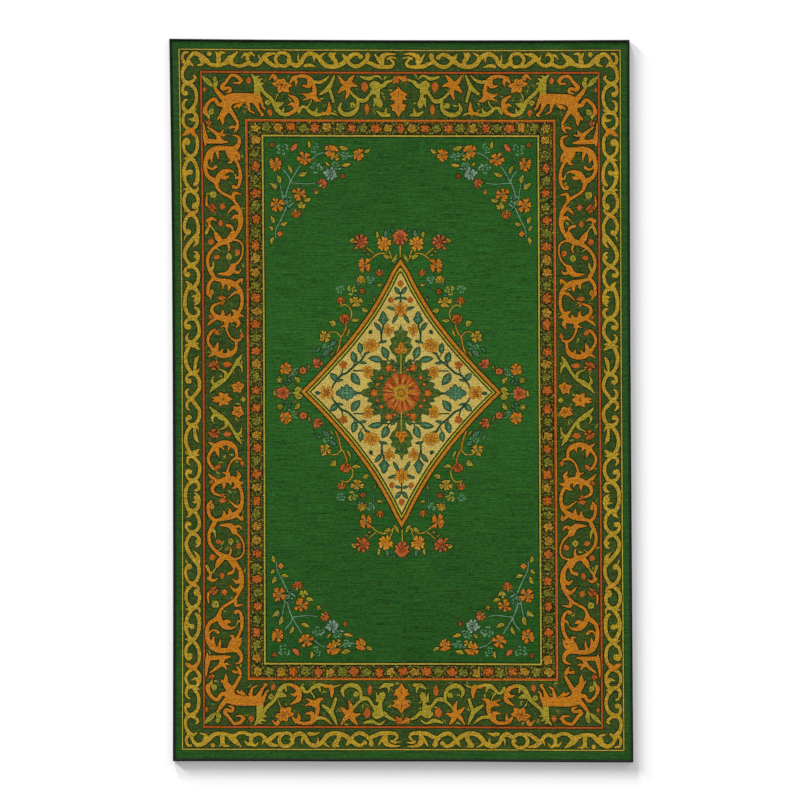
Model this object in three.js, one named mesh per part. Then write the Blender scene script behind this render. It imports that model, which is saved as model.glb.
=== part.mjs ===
// A washable area rug, lying flat: the printed cloth and its serged edge.
// Millimetres, +Z up, +Y along the rug's length, origin at the middle of its footprint on the floor.

import * as THREE from 'three';

// The box that the rug fills on the floor
const overallWidth = 1544.6;
const overallLength = 2408.2;

// Heights above the floor
const clothThickness = 3.2;
const sergedHeight = 4.0;

// The serged edge wraps the cloth's rim, whose pile it squeezes thin
const serging = { width: 8.0, noseDepth: 1.8, wall: 0.9, lipChamfer: 0.5 };
const pressedRim = { bottom: 1.2, top: 2.6 };
const pileRounding = 0.5;
const gap = 0.3; // between the cloth and the serging, all round the rim
const mitreShift = 0.25; // each strip stops this far short of the corner's diagonal

const stepsPerSide = 16;
const noseSteps = 8;

// How far each side stands in from the rug's box, at every fifth of the way from its -X or -Y end
const sideInsets = {
  left: [12.0, 12.7, 12.1, 10.3, 6.7, 0.0],
  right: [0.0, 3.5, 6.8, 9.8, 11.5, 12.7],
  bottom: [4.1, 3.8, 3.0, 2.8, 1.0, 0.0],
  top: [0.0, 2.7, 4.2, 5.0, 5.0, 3.9],
};

const clothMaterial = new THREE.MeshStandardMaterial({
  name: 'printed_pile', color: 0x2a5c24, roughness: 0.95, metalness: 0.0,
});
const sergingMaterial = new THREE.MeshStandardMaterial({
  name: 'edge_yarn', color: 0x141412, roughness: 0.9, metalness: 0.0,
});

// A smooth curve through each side's insets: x is the place along the side, from 0 to 1
const insetCurves = Object.fromEntries(
  Object.entries(sideInsets).map(([side, insets]) => {
    const points = insets.map((inset, row) => new THREE.Vector3(row / (insets.length - 1), inset, 0));
    return [side, new THREE.CatmullRomCurve3(points, false, 'catmullrom')];
  }),
);

const insetAt = (side, along) => insetCurves[side].getPoint(along).y;

const sideLines = {
  left: (along) => -overallWidth / 2 + insetAt('left', along),
  right: (along) => overallWidth / 2 - insetAt('right', along),
  bottom: (along) => -overallLength / 2 + insetAt('bottom', along),
  top: (along) => overallLength / 2 - insetAt('top', along),
};

const isUpright = (side) => side === 'left' || side === 'right';

// The two sides that a side runs between, and which end of them it meets
const sideEnds = {
  left: { from: 'bottom', to: 'top', end: 0 },
  right: { from: 'bottom', to: 'top', end: 1 },
  bottom: { from: 'left', to: 'right', end: 0 },
  top: { from: 'left', to: 'right', end: 1 },
};

// A point of the outline pulled in by depth, on the named side, from its -X or -Y end to the other
function outlinePoint(side, along, depth) {
  const { from, to, end } = sideEnds[side];
  const run = THREE.MathUtils.lerp(sideLines[from](end) + depth, sideLines[to](end) - depth, along);
  const across = sideLines[side](along) + (end === 0 ? depth : -depth);
  return isUpright(side) ? new THREE.Vector2(across, run) : new THREE.Vector2(run, across);
}

// The whole outline at one depth, counter-clockwise seen from above
function outlineLoop(depth) {
  const walk = [['bottom', false], ['right', false], ['top', true], ['left', true]];
  return walk.flatMap(([side, backwards]) => Array.from({ length: stepsPerSide }, (_, step) => {
    const along = step / stepsPerSide;
    return outlinePoint(side, backwards ? 1 - along : along, depth);
  }));
}

// The cloth: rings of the outline at each depth and height, joined to one closed body
function clothGeometry() {
  const shoulder = serging.width + gap;
  const rim = serging.wall + gap;
  const rings = [
    { depth: shoulder, height: 0 },
    { depth: shoulder, height: pressedRim.bottom },
    { depth: rim, height: pressedRim.bottom },
    { depth: rim, height: pressedRim.top },
    { depth: shoulder, height: pressedRim.top },
    { depth: shoulder, height: clothThickness - pileRounding / 2 },
    { depth: shoulder + pileRounding, height: clothThickness },
  ];
  const loops = rings.map((ring) => outlineLoop(ring.depth));
  const count = loops[0].length;
  const positions = rings.flatMap(
    (ring, level) => loops[level].flatMap((point) => [point.x, point.y, ring.height]),
  );
  const index = [];
  for (let level = 0; level + 1 < rings.length; level += 1) {
    for (let spot = 0; spot < count; spot += 1) {
      const a = level * count + spot;
      const b = level * count + ((spot + 1) % count);
      index.push(a, b, b + count, a, b + count, a + count);
    }
  }
  const topStart = (rings.length - 1) * count;
  for (const [a, b, c] of THREE.ShapeUtils.triangulateShape(loops[0], [])) index.push(c, b, a);
  for (const [a, b, c] of THREE.ShapeUtils.triangulateShape(loops.at(-1), [])) {
    index.push(topStart + a, topStart + b, topStart + c);
  }
  const geometry = new THREE.BufferGeometry();
  geometry.setAttribute('position', new THREE.Float32BufferAttribute(positions, 3));
  geometry.setIndex(index);
  geometry.computeVertexNormals();
  return geometry;
}

// The serging's section, with the slot for the rim: x is the depth in from the rug's edge, y the height
function sergingSection() {
  const { width, noseDepth, wall, lipChamfer } = serging;
  const middle = sergedHeight / 2;
  const slotBottom = pressedRim.bottom - gap;
  const slotTop = pressedRim.top + gap;
  const section = new THREE.Shape();
  section.moveTo(width, 0);
  section.lineTo(width, slotBottom);
  section.lineTo(wall, slotBottom);
  section.lineTo(wall, slotTop);
  section.lineTo(width, slotTop);
  section.lineTo(width, sergedHeight - lipChamfer);
  section.lineTo(width - lipChamfer, sergedHeight);
  section.absellipse(noseDepth, middle, noseDepth, middle, Math.PI / 2, 1.5 * Math.PI, false);
  return section;
}

// One strip of serging: the section run along a side, with its ends cut on the corners' diagonals
function sergingGeometry(side) {
  const geometry = new THREE.ExtrudeGeometry(sergingSection(), {
    depth: 1, steps: stepsPerSide, bevelEnabled: false, curveSegments: noseSteps,
  });
  const places = geometry.getAttribute('position');
  for (let spot = 0; spot < places.count; spot += 1) {
    const along = places.getZ(spot);
    const point = outlinePoint(side, along, places.getX(spot));
    const shift = mitreShift * (1 - 2 * along);
    if (isUpright(side)) point.y += shift;
    else point.x += shift;
    places.setXYZ(spot, point.x, point.y, places.getY(spot));
  }
  const mirrored = side === 'left' || side === 'top';
  if (mirrored) turnInsideOut(geometry);
  geometry.computeVertexNormals();
  return geometry;
}

// Swaps two corners of every triangle, so that its face points the other way
function turnInsideOut(geometry) {
  for (const attribute of Object.values(geometry.attributes)) {
    for (let corner = 0; corner < attribute.count; corner += 3) {
      for (let part = 0; part < attribute.itemSize; part += 1) {
        const kept = attribute.getComponent(corner + 1, part);
        attribute.setComponent(corner + 1, part, attribute.getComponent(corner + 2, part));
        attribute.setComponent(corner + 2, part, kept);
      }
    }
  }
}

const rug = new THREE.Group();

const cloth = new THREE.Mesh(clothGeometry(), clothMaterial);
cloth.name = 'rug_cloth';
rug.add(cloth);

for (const side of Object.keys(sideInsets)) {
  const strip = new THREE.Mesh(sergingGeometry(side), sergingMaterial);
  strip.name = `serged_edge_${side}`;
  rug.add(strip);
}

export default rug;
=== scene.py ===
import math

import bpy
import numpy as np
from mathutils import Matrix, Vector
from mathutils.geometry import delaunay_2d_cdt


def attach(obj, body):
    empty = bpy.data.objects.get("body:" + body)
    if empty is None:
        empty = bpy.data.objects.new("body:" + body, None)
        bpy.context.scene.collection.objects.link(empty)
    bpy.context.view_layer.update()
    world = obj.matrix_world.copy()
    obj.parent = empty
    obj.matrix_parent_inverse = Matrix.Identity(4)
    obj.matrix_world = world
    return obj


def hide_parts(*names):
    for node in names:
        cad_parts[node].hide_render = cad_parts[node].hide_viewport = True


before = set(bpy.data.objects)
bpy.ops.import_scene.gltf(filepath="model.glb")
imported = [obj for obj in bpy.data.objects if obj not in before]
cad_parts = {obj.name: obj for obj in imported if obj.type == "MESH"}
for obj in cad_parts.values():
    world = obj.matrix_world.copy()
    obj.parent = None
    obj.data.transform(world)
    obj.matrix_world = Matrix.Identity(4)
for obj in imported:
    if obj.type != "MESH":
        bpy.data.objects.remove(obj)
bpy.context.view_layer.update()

# A washable area rug: a short printed pile, serged all round with black yarn, lying flat.
# Sizes are millimetres until they become mesh points, which are metres.
mm = 0.001

# The rug's outline: how far each side stands in from the rug's box,
# at every fifth of the way from its -X or -Y end
rugOutline = {
    "width": 1544.6,
    "length": 2408.2,
    "insets": {
        "left": [12.0, 12.7, 12.1, 10.3, 6.7, 0.0],
        "right": [0.0, 3.5, 6.8, 9.8, 11.5, 12.7],
        "bottom": [4.1, 3.8, 3.0, 2.8, 1.0, 0.0],
        "top": [0.0, 2.7, 4.2, 5.0, 5.0, 3.9],
    },
    "steps": 24,            # points to a side
}

# The two sides that each side runs between, and which end of them it meets
sideEnds = {
    "left": ("bottom", "top", 0),
    "right": ("bottom", "top", 1),
    "bottom": ("left", "right", 0),
    "top": ("left", "right", 1),
}


def isUpright(side):
    return side in ("left", "right")


def smoothBetween(a, b, c, d, t):
    # a smooth curve from b to c, led by the points before and after them
    bend = (2 * a - 5 * b + 4 * c - d) * t ** 2 + (3 * b - a - 3 * c + d) * t ** 3
    return 0.5 * (2 * b + (c - a) * t + bend)


def insetAt(side, along):
    # a smooth curve through one side's insets, along from 0 to 1
    rows = np.array(rugOutline["insets"][side])
    rows = np.concatenate([[2 * rows[0] - rows[1]], rows, [2 * rows[-1] - rows[-2]]])
    spans = len(rows) - 3
    spot = np.clip(np.asarray(along, float), 0, 1) * spans
    row = np.minimum(spot.astype(int), spans - 1)
    return smoothBetween(rows[row], rows[row + 1], rows[row + 2], rows[row + 3], spot - row)


def sideLine(side, along):
    halfSpan = (rugOutline["width"] if isUpright(side) else rugOutline["length"]) / 2
    inset = insetAt(side, along)
    return inset - halfSpan if side in ("left", "bottom") else halfSpan - inset


def sidesAt(x, y):
    # where the left, right, bottom and top sides stand beside each place
    alongX = x / rugOutline["width"] + 0.5
    alongY = y / rugOutline["length"] + 0.5
    return (sideLine("left", alongY), sideLine("right", alongY),
            sideLine("bottom", alongX), sideLine("top", alongX))


def depthIn(places):
    # how far in from the nearest side each place lies
    x, y = places[:, 0], places[:, 1]
    left, right, bottom, top = sidesAt(x, y)
    return np.min([x - left, right - x, y - bottom, top - y], axis=0)


def edgePlaces(side, along, depth):
    # places on one side, along it from its -X or -Y end and in from it by a depth
    start, finish, end = sideEnds[side]
    low = sideLine(start, end) + depth
    high = sideLine(finish, end) - depth
    run = low + (high - low) * along
    across = sideLine(side, along) + (depth if end == 0 else -depth)
    return np.column_stack([across, run] if isUpright(side) else [run, across])


def edgeLoop(depth):
    # the whole outline at one depth, counter-clockwise
    along = np.arange(rugOutline["steps"]) / rugOutline["steps"]
    return np.vstack([edgePlaces("bottom", along, depth), edgePlaces("right", along, depth),
                      edgePlaces("top", 1 - along, depth), edgePlaces("left", 1 - along, depth)])


# The printed design, drawn in chart units: 458 to the rug's width.
# A place in it is right and up from the middle of the print, and each printed area is one row:
# its level, its outline and its ink. Higher levels lie over lower ones.

inks = {
    # sRGB, 0 to 255, and how busy the print's crooked flecks are in it
    "margin": (35, 75, 28, 0.0),
    "field": (40, 87, 31, 0.0),
    "ground": (38, 65, 24, 0.1),
    "shade": (32, 44, 12, 0.3),
    "fern": (40, 75, 28, 0.2),
    "deep": (22, 60, 44, 0.03),
    "night": (11, 21, 2, 0.02),
    "gold": (167, 134, 30, 0.55),
    "amber": (146, 102, 20, 0.5),
    "straw": (162, 144, 52, 0.16),
    "vermilion": (158, 68, 14, 0.1),
    "rimOrange": (176, 106, 16, 0.24),
    "lime": (150, 146, 44, 0.1),
    "orange": (180, 106, 8, 0.3),
    "saffron": (186, 128, 28, 0.34),
    "rust": (124, 62, 12, 0.2),
    "olive": (146, 133, 34, 0.45),
    "moss": (88, 92, 26, 0.36),
    "red": (172, 82, 42, 0.24),
    "ember": (166, 78, 18, 0.24),
    "crimson": (106, 38, 14, 0.1),
    "cream": (189, 166, 87, 0.3),
    "leafGreen": (40, 82, 50, 0.2),
    "teal": (50, 98, 72, 0.14),
    "sea": (88, 132, 100, 0.1),
    "sky": (112, 148, 128, 0.3),
}

# The lowest level of each part of the print, the last five being the medallion's.
# The bands lie under them all, from 0.
levels = {"groundCurls": 18, "outerGuard": 20, "innerGuard": 30, "border": 40, "sprays": 70, "medallion": 100,
          "leaves": 108, "blooms": 112, "star": 116, "starFlowers": 120, "rosette": 130}

# How far the copies of a part wander from the quarter that they repeat, in units
wanders = {"cornerSprays": 0.6, "sprays": 0.5, "bunches": 0.4, "medallion": 0.3, "outerGuard": 0.6,
           "border": 0.8}

# How the motifs are drawn, in shares of their own size unless units or degrees are named
motifs = {
    "leafFullest": 0.85,        # a power: below 1, a leaf is fullest nearer its base
    "toothPlaces": (0.1, 0.84),
    "toothLean": 0.05,
    "toothTip": 0.6,
    "petal": [(0.0, 0.22), (0.4, 0.56), (0.78, 1.0), (1.02, 0.56)],     # along it, and its width there
    "petalNotch": 0.84,
    "petalWidths": {"pointed": 0.62, "round": 0.66},
    "petalTurns": 11,           # how uneven a bloom's petals are: their turns, in degrees
    "petalReaches": (0.78, 1.16),
    "petalBreadths": (0.72, 1.14),
    "petalSlants": 0.1,
    "streakFrom": 4.0,          # the petals of a bloom of more than this radius have streaks, in units
    "fan": [(-66, 0.62), (62, 0.66), (-40, 0.86), (38, 0.8), (-13, 1.0), (12, 0.94)],   # degrees, reach
    "curl": (1.0, 0.86, 0.22),
    "scribbleArcs": 9,
    "scribbleWidths": (0.5, 1.2, 1.2, 0.4),     # units
}


def smoothLine(points, steps):
    # a smooth line through the points, in that many steps from each to the next
    points = np.asarray(points, float)
    led = np.vstack([2 * points[:1] - points[1:2], points, 2 * points[-1:] - points[-2:-1]])
    t = np.arange(steps)[:, None] / steps
    runs = [smoothBetween(a, b, c, d, t) for a, b, c, d in zip(led[:-3], led[1:-2], led[2:-1], led[3:])]
    return np.vstack([*runs, points[-1:]])


def sideways(line, closed=False):
    # unit vectors to the left of a line's run
    if closed:
        ahead = np.roll(line, -1, axis=0) - np.roll(line, 1, axis=0)
    else:
        ahead = np.gradient(line, axis=0)
    ahead = ahead / np.maximum(np.linalg.norm(ahead, axis=1, keepdims=True), 1e-9)
    return np.column_stack([-ahead[:, 1], ahead[:, 0]])


def spine(base, tip):
    # a motif's foot, its axis and the unit vector to the left of it
    base, tip = np.asarray(base, float), np.asarray(tip, float)
    axis = tip - base
    return base, axis, np.array([-axis[1], axis[0]]) / max(np.hypot(*axis), 1e-9)


def heading(degrees):
    return np.array([math.cos(math.radians(degrees)), math.sin(math.radians(degrees))])


def ribbon(points, widths, steps=4):
    # a band along a smooth line, its widths shared out from start to end
    line = smoothLine(points, steps)
    half = np.interp(np.linspace(0, 1, len(line)), np.linspace(0, 1, len(widths)), widths)[:, None] / 2
    left = sideways(line)
    ahead = np.column_stack([left[:, 1], -left[:, 0]])
    start = line[:1] - ahead[:1] * half[:1]
    end = line[-1:] + ahead[-1:] * half[-1:]
    return np.vstack([line - left * half, end, (line + left * half)[::-1], start])


def grow(outline, amount):
    # the outline pushed outwards, or inwards where the amount is below zero
    across, up = outline[:, 0], outline[:, 1]
    area = np.sum(across * np.roll(up, -1) - np.roll(across, -1) * up)
    return outline - sideways(outline, closed=True) * amount * np.sign(area)


def inked(outline, ink, level, edge, rim="night"):
    # a printed area with its dark outline one level below
    outline = np.asarray(outline, float)
    rows = [(level + 1, outline, ink)]
    if edge:
        rows.append((level, grow(outline, edge), rim))
    return rows


def disc(centre, radius, sides):
    angle = 0.3 + np.arange(sides) * 2 * np.pi / sides
    return np.asarray(centre) + np.column_stack([np.cos(angle), np.sin(angle)]) * radius


def leafShape(base, tip, width, bow=0.0, points=6):
    # a pointed leaf, bowed to its left
    base, axis, across = spine(base, tip)
    t = np.linspace(0, 1, points)[:, None]
    middle = base + axis * t + across * bow * np.sin(np.pi * t)
    swell = across * width / 2 * np.sin(np.pi * t ** motifs["leafFullest"])
    return np.vstack([(middle - swell), (middle + swell)[-2:0:-1]])


def toothedLeaf(base, tip, width, teeth, depth=0.26):
    # a leaf whose sides run out in forward teeth
    base, axis, across = spine(base, tip)
    t = np.linspace(*motifs["toothPlaces"], teeth * 2)
    t[1::2] += motifs["toothLean"]
    reach = np.tile([1 - depth, 1 + depth * motifs["toothTip"]], teeth)
    swell = width / 2 * np.sin(np.pi * t ** motifs["leafFullest"]) * reach
    middle = base + axis * t[:, None]
    out = across * swell[:, None]
    return np.vstack([base, middle - out, tip, (middle + out)[::-1]])


def petalShape(base, tip, width, slant=0.0):
    # a petal with a narrow foot and a broad notched end
    base, axis, across = spine(base, tip)
    across = across * width / 2
    half = motifs["petal"]
    right = [base + axis * (along - slant * along) - across * out for along, out in half]
    left = [base + axis * (along + slant * along) + across * out for along, out in half[::-1]]
    return np.array(right + [base + axis * motifs["petalNotch"]] + left)


def fleck(start, end, width):
    # a short thin kite of ink
    start, axis, across = spine(start, end)
    across = across * width / 2
    middle = start + axis * 0.45
    return np.array([start, middle - across, end, middle + across])


def leaf(base, tip, width, ink, level, edge, bow=0.0, vein=None, rim="night"):
    rows = inked(leafShape(base, tip, width, bow), ink, level, edge, rim)
    if vein:
        base, axis, _ = spine(base, tip)
        rows.append((level + 2, fleck(base + axis * 0.1, tip - axis * 0.16, width * 0.3), vein))
    return rows


def stroke(points, widths, ink, level, edge, steps=4):
    widths = np.asarray(widths, float)
    return [(level + 1, ribbon(points, widths, steps), ink),
            (level, ribbon(points, widths + 2 * edge, steps), "night")]


def curl(start, bend, tip, width, ink, level, edge):
    # a short lobe off a scroll, broad where it leaves and drawn out to a point
    return stroke([start, bend, tip], np.array(motifs["curl"]) * width, ink, level, edge)


def bud(centre, length, width, turn, ink, level, edge, heart):
    # a drop with its point at the turn, in degrees from the right
    way = heading(turn)
    base = np.asarray(centre) - way * length / 2
    rows = inked(leafShape(base, base + way * length, width), ink, level, edge)
    if heart:
        streak = fleck(base + way * length * 0.2, base + way * length * 0.8, width * 0.26)
        rows.append((level + 2, streak, heart))
    return rows


def bloom(centre, radius, petals, ink, heart, turn, level, edge, pointed=False, rim="night", eye=None):
    # an open flower of separate petals, no two alike, round a small heart
    centre = np.asarray(centre, float)
    rng = np.random.default_rng(int(abs(centre[0] * 31 + centre[1] * 17 + radius * 7)))
    rows = []
    turns, slants = motifs["petalTurns"], motifs["petalSlants"]
    width = 2 * radius * math.sin(math.pi / petals) * motifs["petalWidths"]["pointed" if pointed else "round"]
    for number in range(petals):
        way = heading(turn + 360 * number / petals + rng.uniform(-turns, turns))
        reach = radius * rng.uniform(*motifs["petalReaches"])
        foot = centre + way * radius * 0.08
        wide = width * rng.uniform(*motifs["petalBreadths"])
        slant = rng.uniform(-slants, slants)
        tip = centre + way * reach
        petal = leafShape(foot, tip, wide) if pointed else petalShape(foot, tip, wide, slant)
        rows += inked(petal, ink, level, edge, rim)
        if radius > motifs["streakFrom"]:
            streakEnd = centre + way * reach * rng.uniform(0.6, 0.84)
            rows.append((level + 2, fleck(centre + way * radius * 0.16, streakEnd, width * 0.3), heart))
    rows.append((level + 3, disc(centre, radius * 0.2, 6), eye or heart))
    return rows


def fan(foot, size, turn, ink, heart, level, edge):
    # a flower seen from the side: notched petals spread over a small cup, the middle ones on top
    foot = np.asarray(foot, float)
    rows = []
    for number, (spread, share) in enumerate(motifs["fan"]):
        way = heading(turn + spread)
        reach = size * share
        rows += inked(petalShape(foot, foot + way * reach, size * 0.34), ink, level + number // 2 * 2, edge)
        streak = fleck(foot + way * reach * 0.3, foot + way * reach * 0.8, size * 0.09)
        rows.append((level + 7, streak, heart))
    up = heading(turn)
    cup = leafShape(foot - up * size * 0.22, foot + up * size * 0.34, size * 0.26, points=5)
    return rows + inked(cup, "olive", level + 8, edge * 0.6)


def scribble(centre, radius, ink, level):
    # loose broken rings of thin curved strokes, like a flower left in outline
    centre = np.asarray(centre, float)
    rng = np.random.default_rng(int(abs(centre[0] * 13 + centre[1] * 5)))
    rows = []
    for number in range(motifs["scribbleArcs"]):
        inner = number % 3 == 2
        reach = radius * (rng.uniform(0.3, 0.55) if inner else rng.uniform(0.8, 1.1))
        first = 360 * number / motifs["scribbleArcs"] + rng.uniform(-14, 14)
        turns = np.linspace(first, first + rng.uniform(28, 44) * (1.8 if inner else 1.0), 4)
        swell = np.array([0.9, 1.05, 1.1, 0.85]) * reach
        arc = [centre + heading(turn) * swell[step] for step, turn in enumerate(turns)]
        rows.append((level, ribbon(arc, motifs["scribbleWidths"], 2), ink))
    return rows


def knot(centre, radius, lobes, ink, level, edge, turn=90, depth=0.3, heart=None):
    # a small scalloped flower in one piece
    angle = math.radians(turn) + np.arange(lobes * 4) * 2 * np.pi / (lobes * 4)
    scallop = np.abs(np.cos(lobes * (angle - math.radians(turn)) / 2)) ** 0.7
    reach = radius * (1 - depth + depth * scallop)
    outline = np.asarray(centre) + np.column_stack([np.cos(angle), np.sin(angle)]) * reach[:, None]
    rows = inked(outline, ink, level, edge)
    if heart:
        rows.append((level + 2, disc(centre, radius * 0.34, 6), heart))
    return rows


def moved(rows, flip=(1, 1), shift=(0, 0), wander=0.0, seed=0):
    # the rows mirrored and moved, each copy a little its own
    phase = np.random.default_rng(seed).uniform(0, 6.283, 4)
    result = []
    for level, outline, ink in rows:
        place = np.asarray(outline, float) * flip + shift
        if wander:
            u, v = place[:, 0], place[:, 1]
            across = np.sin(v / 11 + phase[0]) + np.sin(u / 7 + phase[1])
            up = np.sin(u / 10 + phase[2]) + np.sin(v / 8 + phase[3])
            place = place + np.column_stack([across, up]) * wander / 2
        result.append((level, place, ink))
    return result


def fourCorners(rows, wander, centre=(0, 0)):
    # rows drawn for the upper left, as places left and up from the centre, printed in all four quarters
    result = []
    for seed, flip in enumerate([(-1, 1), (1, 1), (-1, -1), (1, -1)]):
        result += moved(rows, flip, centre, wander if seed else 0, seed)
    return result


# The lines and bands: each row is half its width, half its length and the ink inside it
bands = {
    "rows": [
        (220.4, 350.6, "night"), (219.75, 349.95, "straw"), (218.6, 348.8, "night"),
        (217.9, 348.1, "ground"), (199.4, 328.6, "night"), (198.7, 327.9, "vermilion"),
        (196.9, 326.1, "night"), (196.1, 325.3, "ground"), (154.9, 280.6, "night"), (154.3, 280, "orange"),
        (153.5, 279.2, "vermilion"), (152, 277.7, "night"), (151, 276.7, "shade"), (139.4, 265.8, "night"),
        (138.2, 264.6, "straw"), (136.6, 263, "night"), (135.6, 262, "field"),
    ],
    "spacing": 16,          # between the points along a line
}


def boxLine(halfWidth, halfLength):
    corners = [(side * halfWidth, end * halfLength) for side, end in ((-1, -1), (1, -1), (1, 1), (-1, 1))]
    outline = []
    for start, end in zip(corners, corners[1:] + corners[:1]):
        start, end = np.array(start), np.array(end)
        count = int(np.hypot(*(end - start)) // bands["spacing"])
        outline.append(start + (end - start) * (np.arange(count) / count)[:, None])
    return np.vstack(outline)


def drawBands():
    return [(level, boxLine(wide, long), ink) for level, (wide, long, ink) in enumerate(bands["rows"])]


# Corner sprays of the field, as places left and up from the middle of the print
cornerSpray = {
    "shift": (0.5, 0.5),
    # place, radius, petals, ink, first petal's heading
    "blooms": [
        ((123.6, 194.4), 7.2, 5, "orange", 80), ((123.8, 234.6), 7.4, 6, "orange", 95),
        ((100.8, 205.6), 6.8, 6, "orange", 30), ((95.4, 240.4), 7, 6, "orange", 70),
        ((69, 248.4), 7.2, 5, "orange", 100), ((41.5, 244.5), 6.4, 5, "orange", 120),
        ((69.2, 225.4), 6.9, 9, "sky", 15), ((64.6, 242.4), 4.2, 4, "gold", 60),
        ((98.4, 193.6), 4, 5, "olive", 20),
    ],
    # foot, size, heading, ink
    "fans": [
        ((79.6, 213.4), 8, 140, "red"), ((104.6, 188.8), 8, 262, "ember"), ((84.6, 209), 4.2, 250, "gold"),
    ],
    # place, radius, lobes, ink
    "knots": [
        ((120.4, 165.2), 2.9, 4, "orange"), ((127.4, 254), 2.6, 5, "rust"), ((57, 223), 2.4, 4, "rust"),
    ],
    # base, tip, width, ink where it is an unusual one
    "leaves": [
        ((126.2, 175.4), (129.6, 183), 4), ((119.8, 174.6), (112.6, 176.7), 3.8),
        ((127.4, 168.2), (131.3, 172.8), 3.2), ((127, 162), (128.6, 154.4), 3.8),
        ((96.4, 198.8), (88.8, 200.9), 4), ((123.2, 209.4), (130.2, 215.8), 4),
        ((119.8, 215.4), (122.8, 224.3), 4.4), ((107.9, 225.6), (112.2, 234.1), 3.4),
        ((101.5, 223.5), (92.2, 227.3), 4), ((109, 248.5), (102.6, 256), 4.8, "red"),
        ((90.1, 250.7), (91.3, 258.6), 2.8, "gold"), ((58.4, 233.6), (49, 236), 3.6, "gold"),
        ((60.6, 252.6), (51, 250.6), 4.4), ((36, 247), (29.5, 250.5), 3.4),
        ((122, 210.6), (125.4, 217.6), 2, "teal"), ((74, 237.6), (70, 233), 2.6),
        ((113.6, 194.6), (108.6, 191), 2.4, "teal"), ((111.8, 192.6), (105.6, 197.6), 1.8, "sea"),
        ((114.6, 199), (110.2, 203), 1.8, "teal"), ((62.6, 229.8), (57.4, 231.6), 2, "sea"),
    ],
    # the route, its widths, ink where it is an unusual one
    "stems": [
        ([(125, 161), (124.1, 169.5), (120.2, 177.1), (115.1, 188.2), (113.2, 193.6), (114, 202.6),
         (112.2, 210.3), (109.4, 217.1), (106, 223.4), (99.8, 233.2)], [1.4, 2.2, 2.2, 1.8]),
        ([(109.6, 217), (110.9, 222.2), (116.4, 229)], [2, 1.8]),
        ([(109.4, 216.4), (101.5, 215.8), (93.9, 215.2), (85, 216)], [1.7, 1.4]),
        ([(117.3, 202.6), (119, 211.1), (119.8, 215)], [1.6, 1.4]),
        ([(88.8, 238.8), (82.8, 244.3), (76, 246.8)], [1.8, 1.5]),
        ([(82, 234.4), (77.6, 231.4)], [1.4, 2.4], "sky"),
        ([(62, 246.6), (54, 242.6), (47, 243.4)], [1.6, 1.3]),
        ([(113.6, 192.4), (110, 190.4), (106.4, 189.4)], [1.4, 1.2]),
        ([(117, 236), (113.6, 240.4), (112.8, 245.4)], [1.2, 1.4], "teal"),
    ],
    # place, radius, ink
    "scribbles": [
        ((117.4, 250), 5.4, "sea"), ((86, 251), 4.4, "sea"), ((83.6, 231.2), 4.8, "sea"),
        ((113.4, 198.8), 4.4, "sea"), ((64, 233.6), 3.6, "sea"), ((54.6, 243.4), 3.6, "sea"),
    ],
}

# Sprays over the tips of the medallion's long diagonal, left and up from the medallion's middle
tipSpray = {
    "blooms": [
        ((39, 151.6), 6.9, 8, "red", 90), ((0, 155.6), 7.2, 9, "red", 90),
        ((16.6, 149.2), 7.8, 5, "saffron", 100),
    ],
    "fans": [((21.4, 123), 6.2, 268, "ember")],
    "knots": [((8, 162.4), 1.6, 4, "teal")],
    "leaves": [
        ((44.8, 151.4), (51, 152.2), 5), ((15.8, 155), (14.4, 164), 3.8, "teal"),
        ((22.8, 155), (23.8, 162.4), 3), ((8.6, 131.2), (3.4, 139.6), 3.4),
        ((11.6, 134.2), (17.8, 138), 3.8), ((33.4, 143), (38, 141), 2.6, "moss"),
        ((24, 108.4), (18.4, 108.6), 2.8), ((30, 138.4), (34.4, 138.8), 2.4, "moss"),
        ((42, 146), (46, 144.2), 2.4, "orange"), ((27, 97), (25.2, 90.8), 2, "moss"),
    ],
    "stems": [
        ([(5.6, 131.4), (11, 137), (16.6, 139.8), (22, 139.4), (26.6, 136.6), (30.6, 132.4)], [1.9, 2, 1.7],
         "gold"), ([(9, 136), (10.6, 141), (13.4, 146)], [1.5, 1.6], "gold"),
        ([(26, 139.4), (33.4, 145.4)], [1.6, 1.6], "gold"), ([(0, 134.6), (0, 148)], [1.7, 1.6], "gold"),
        ([(28.3, 120), (27.4, 106), (26.8, 94.8)], [1.8, 1.4], "teal"),
    ],
    "scribbles": [((30.4, 113.6), 3.6, "sea")],
}

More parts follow.
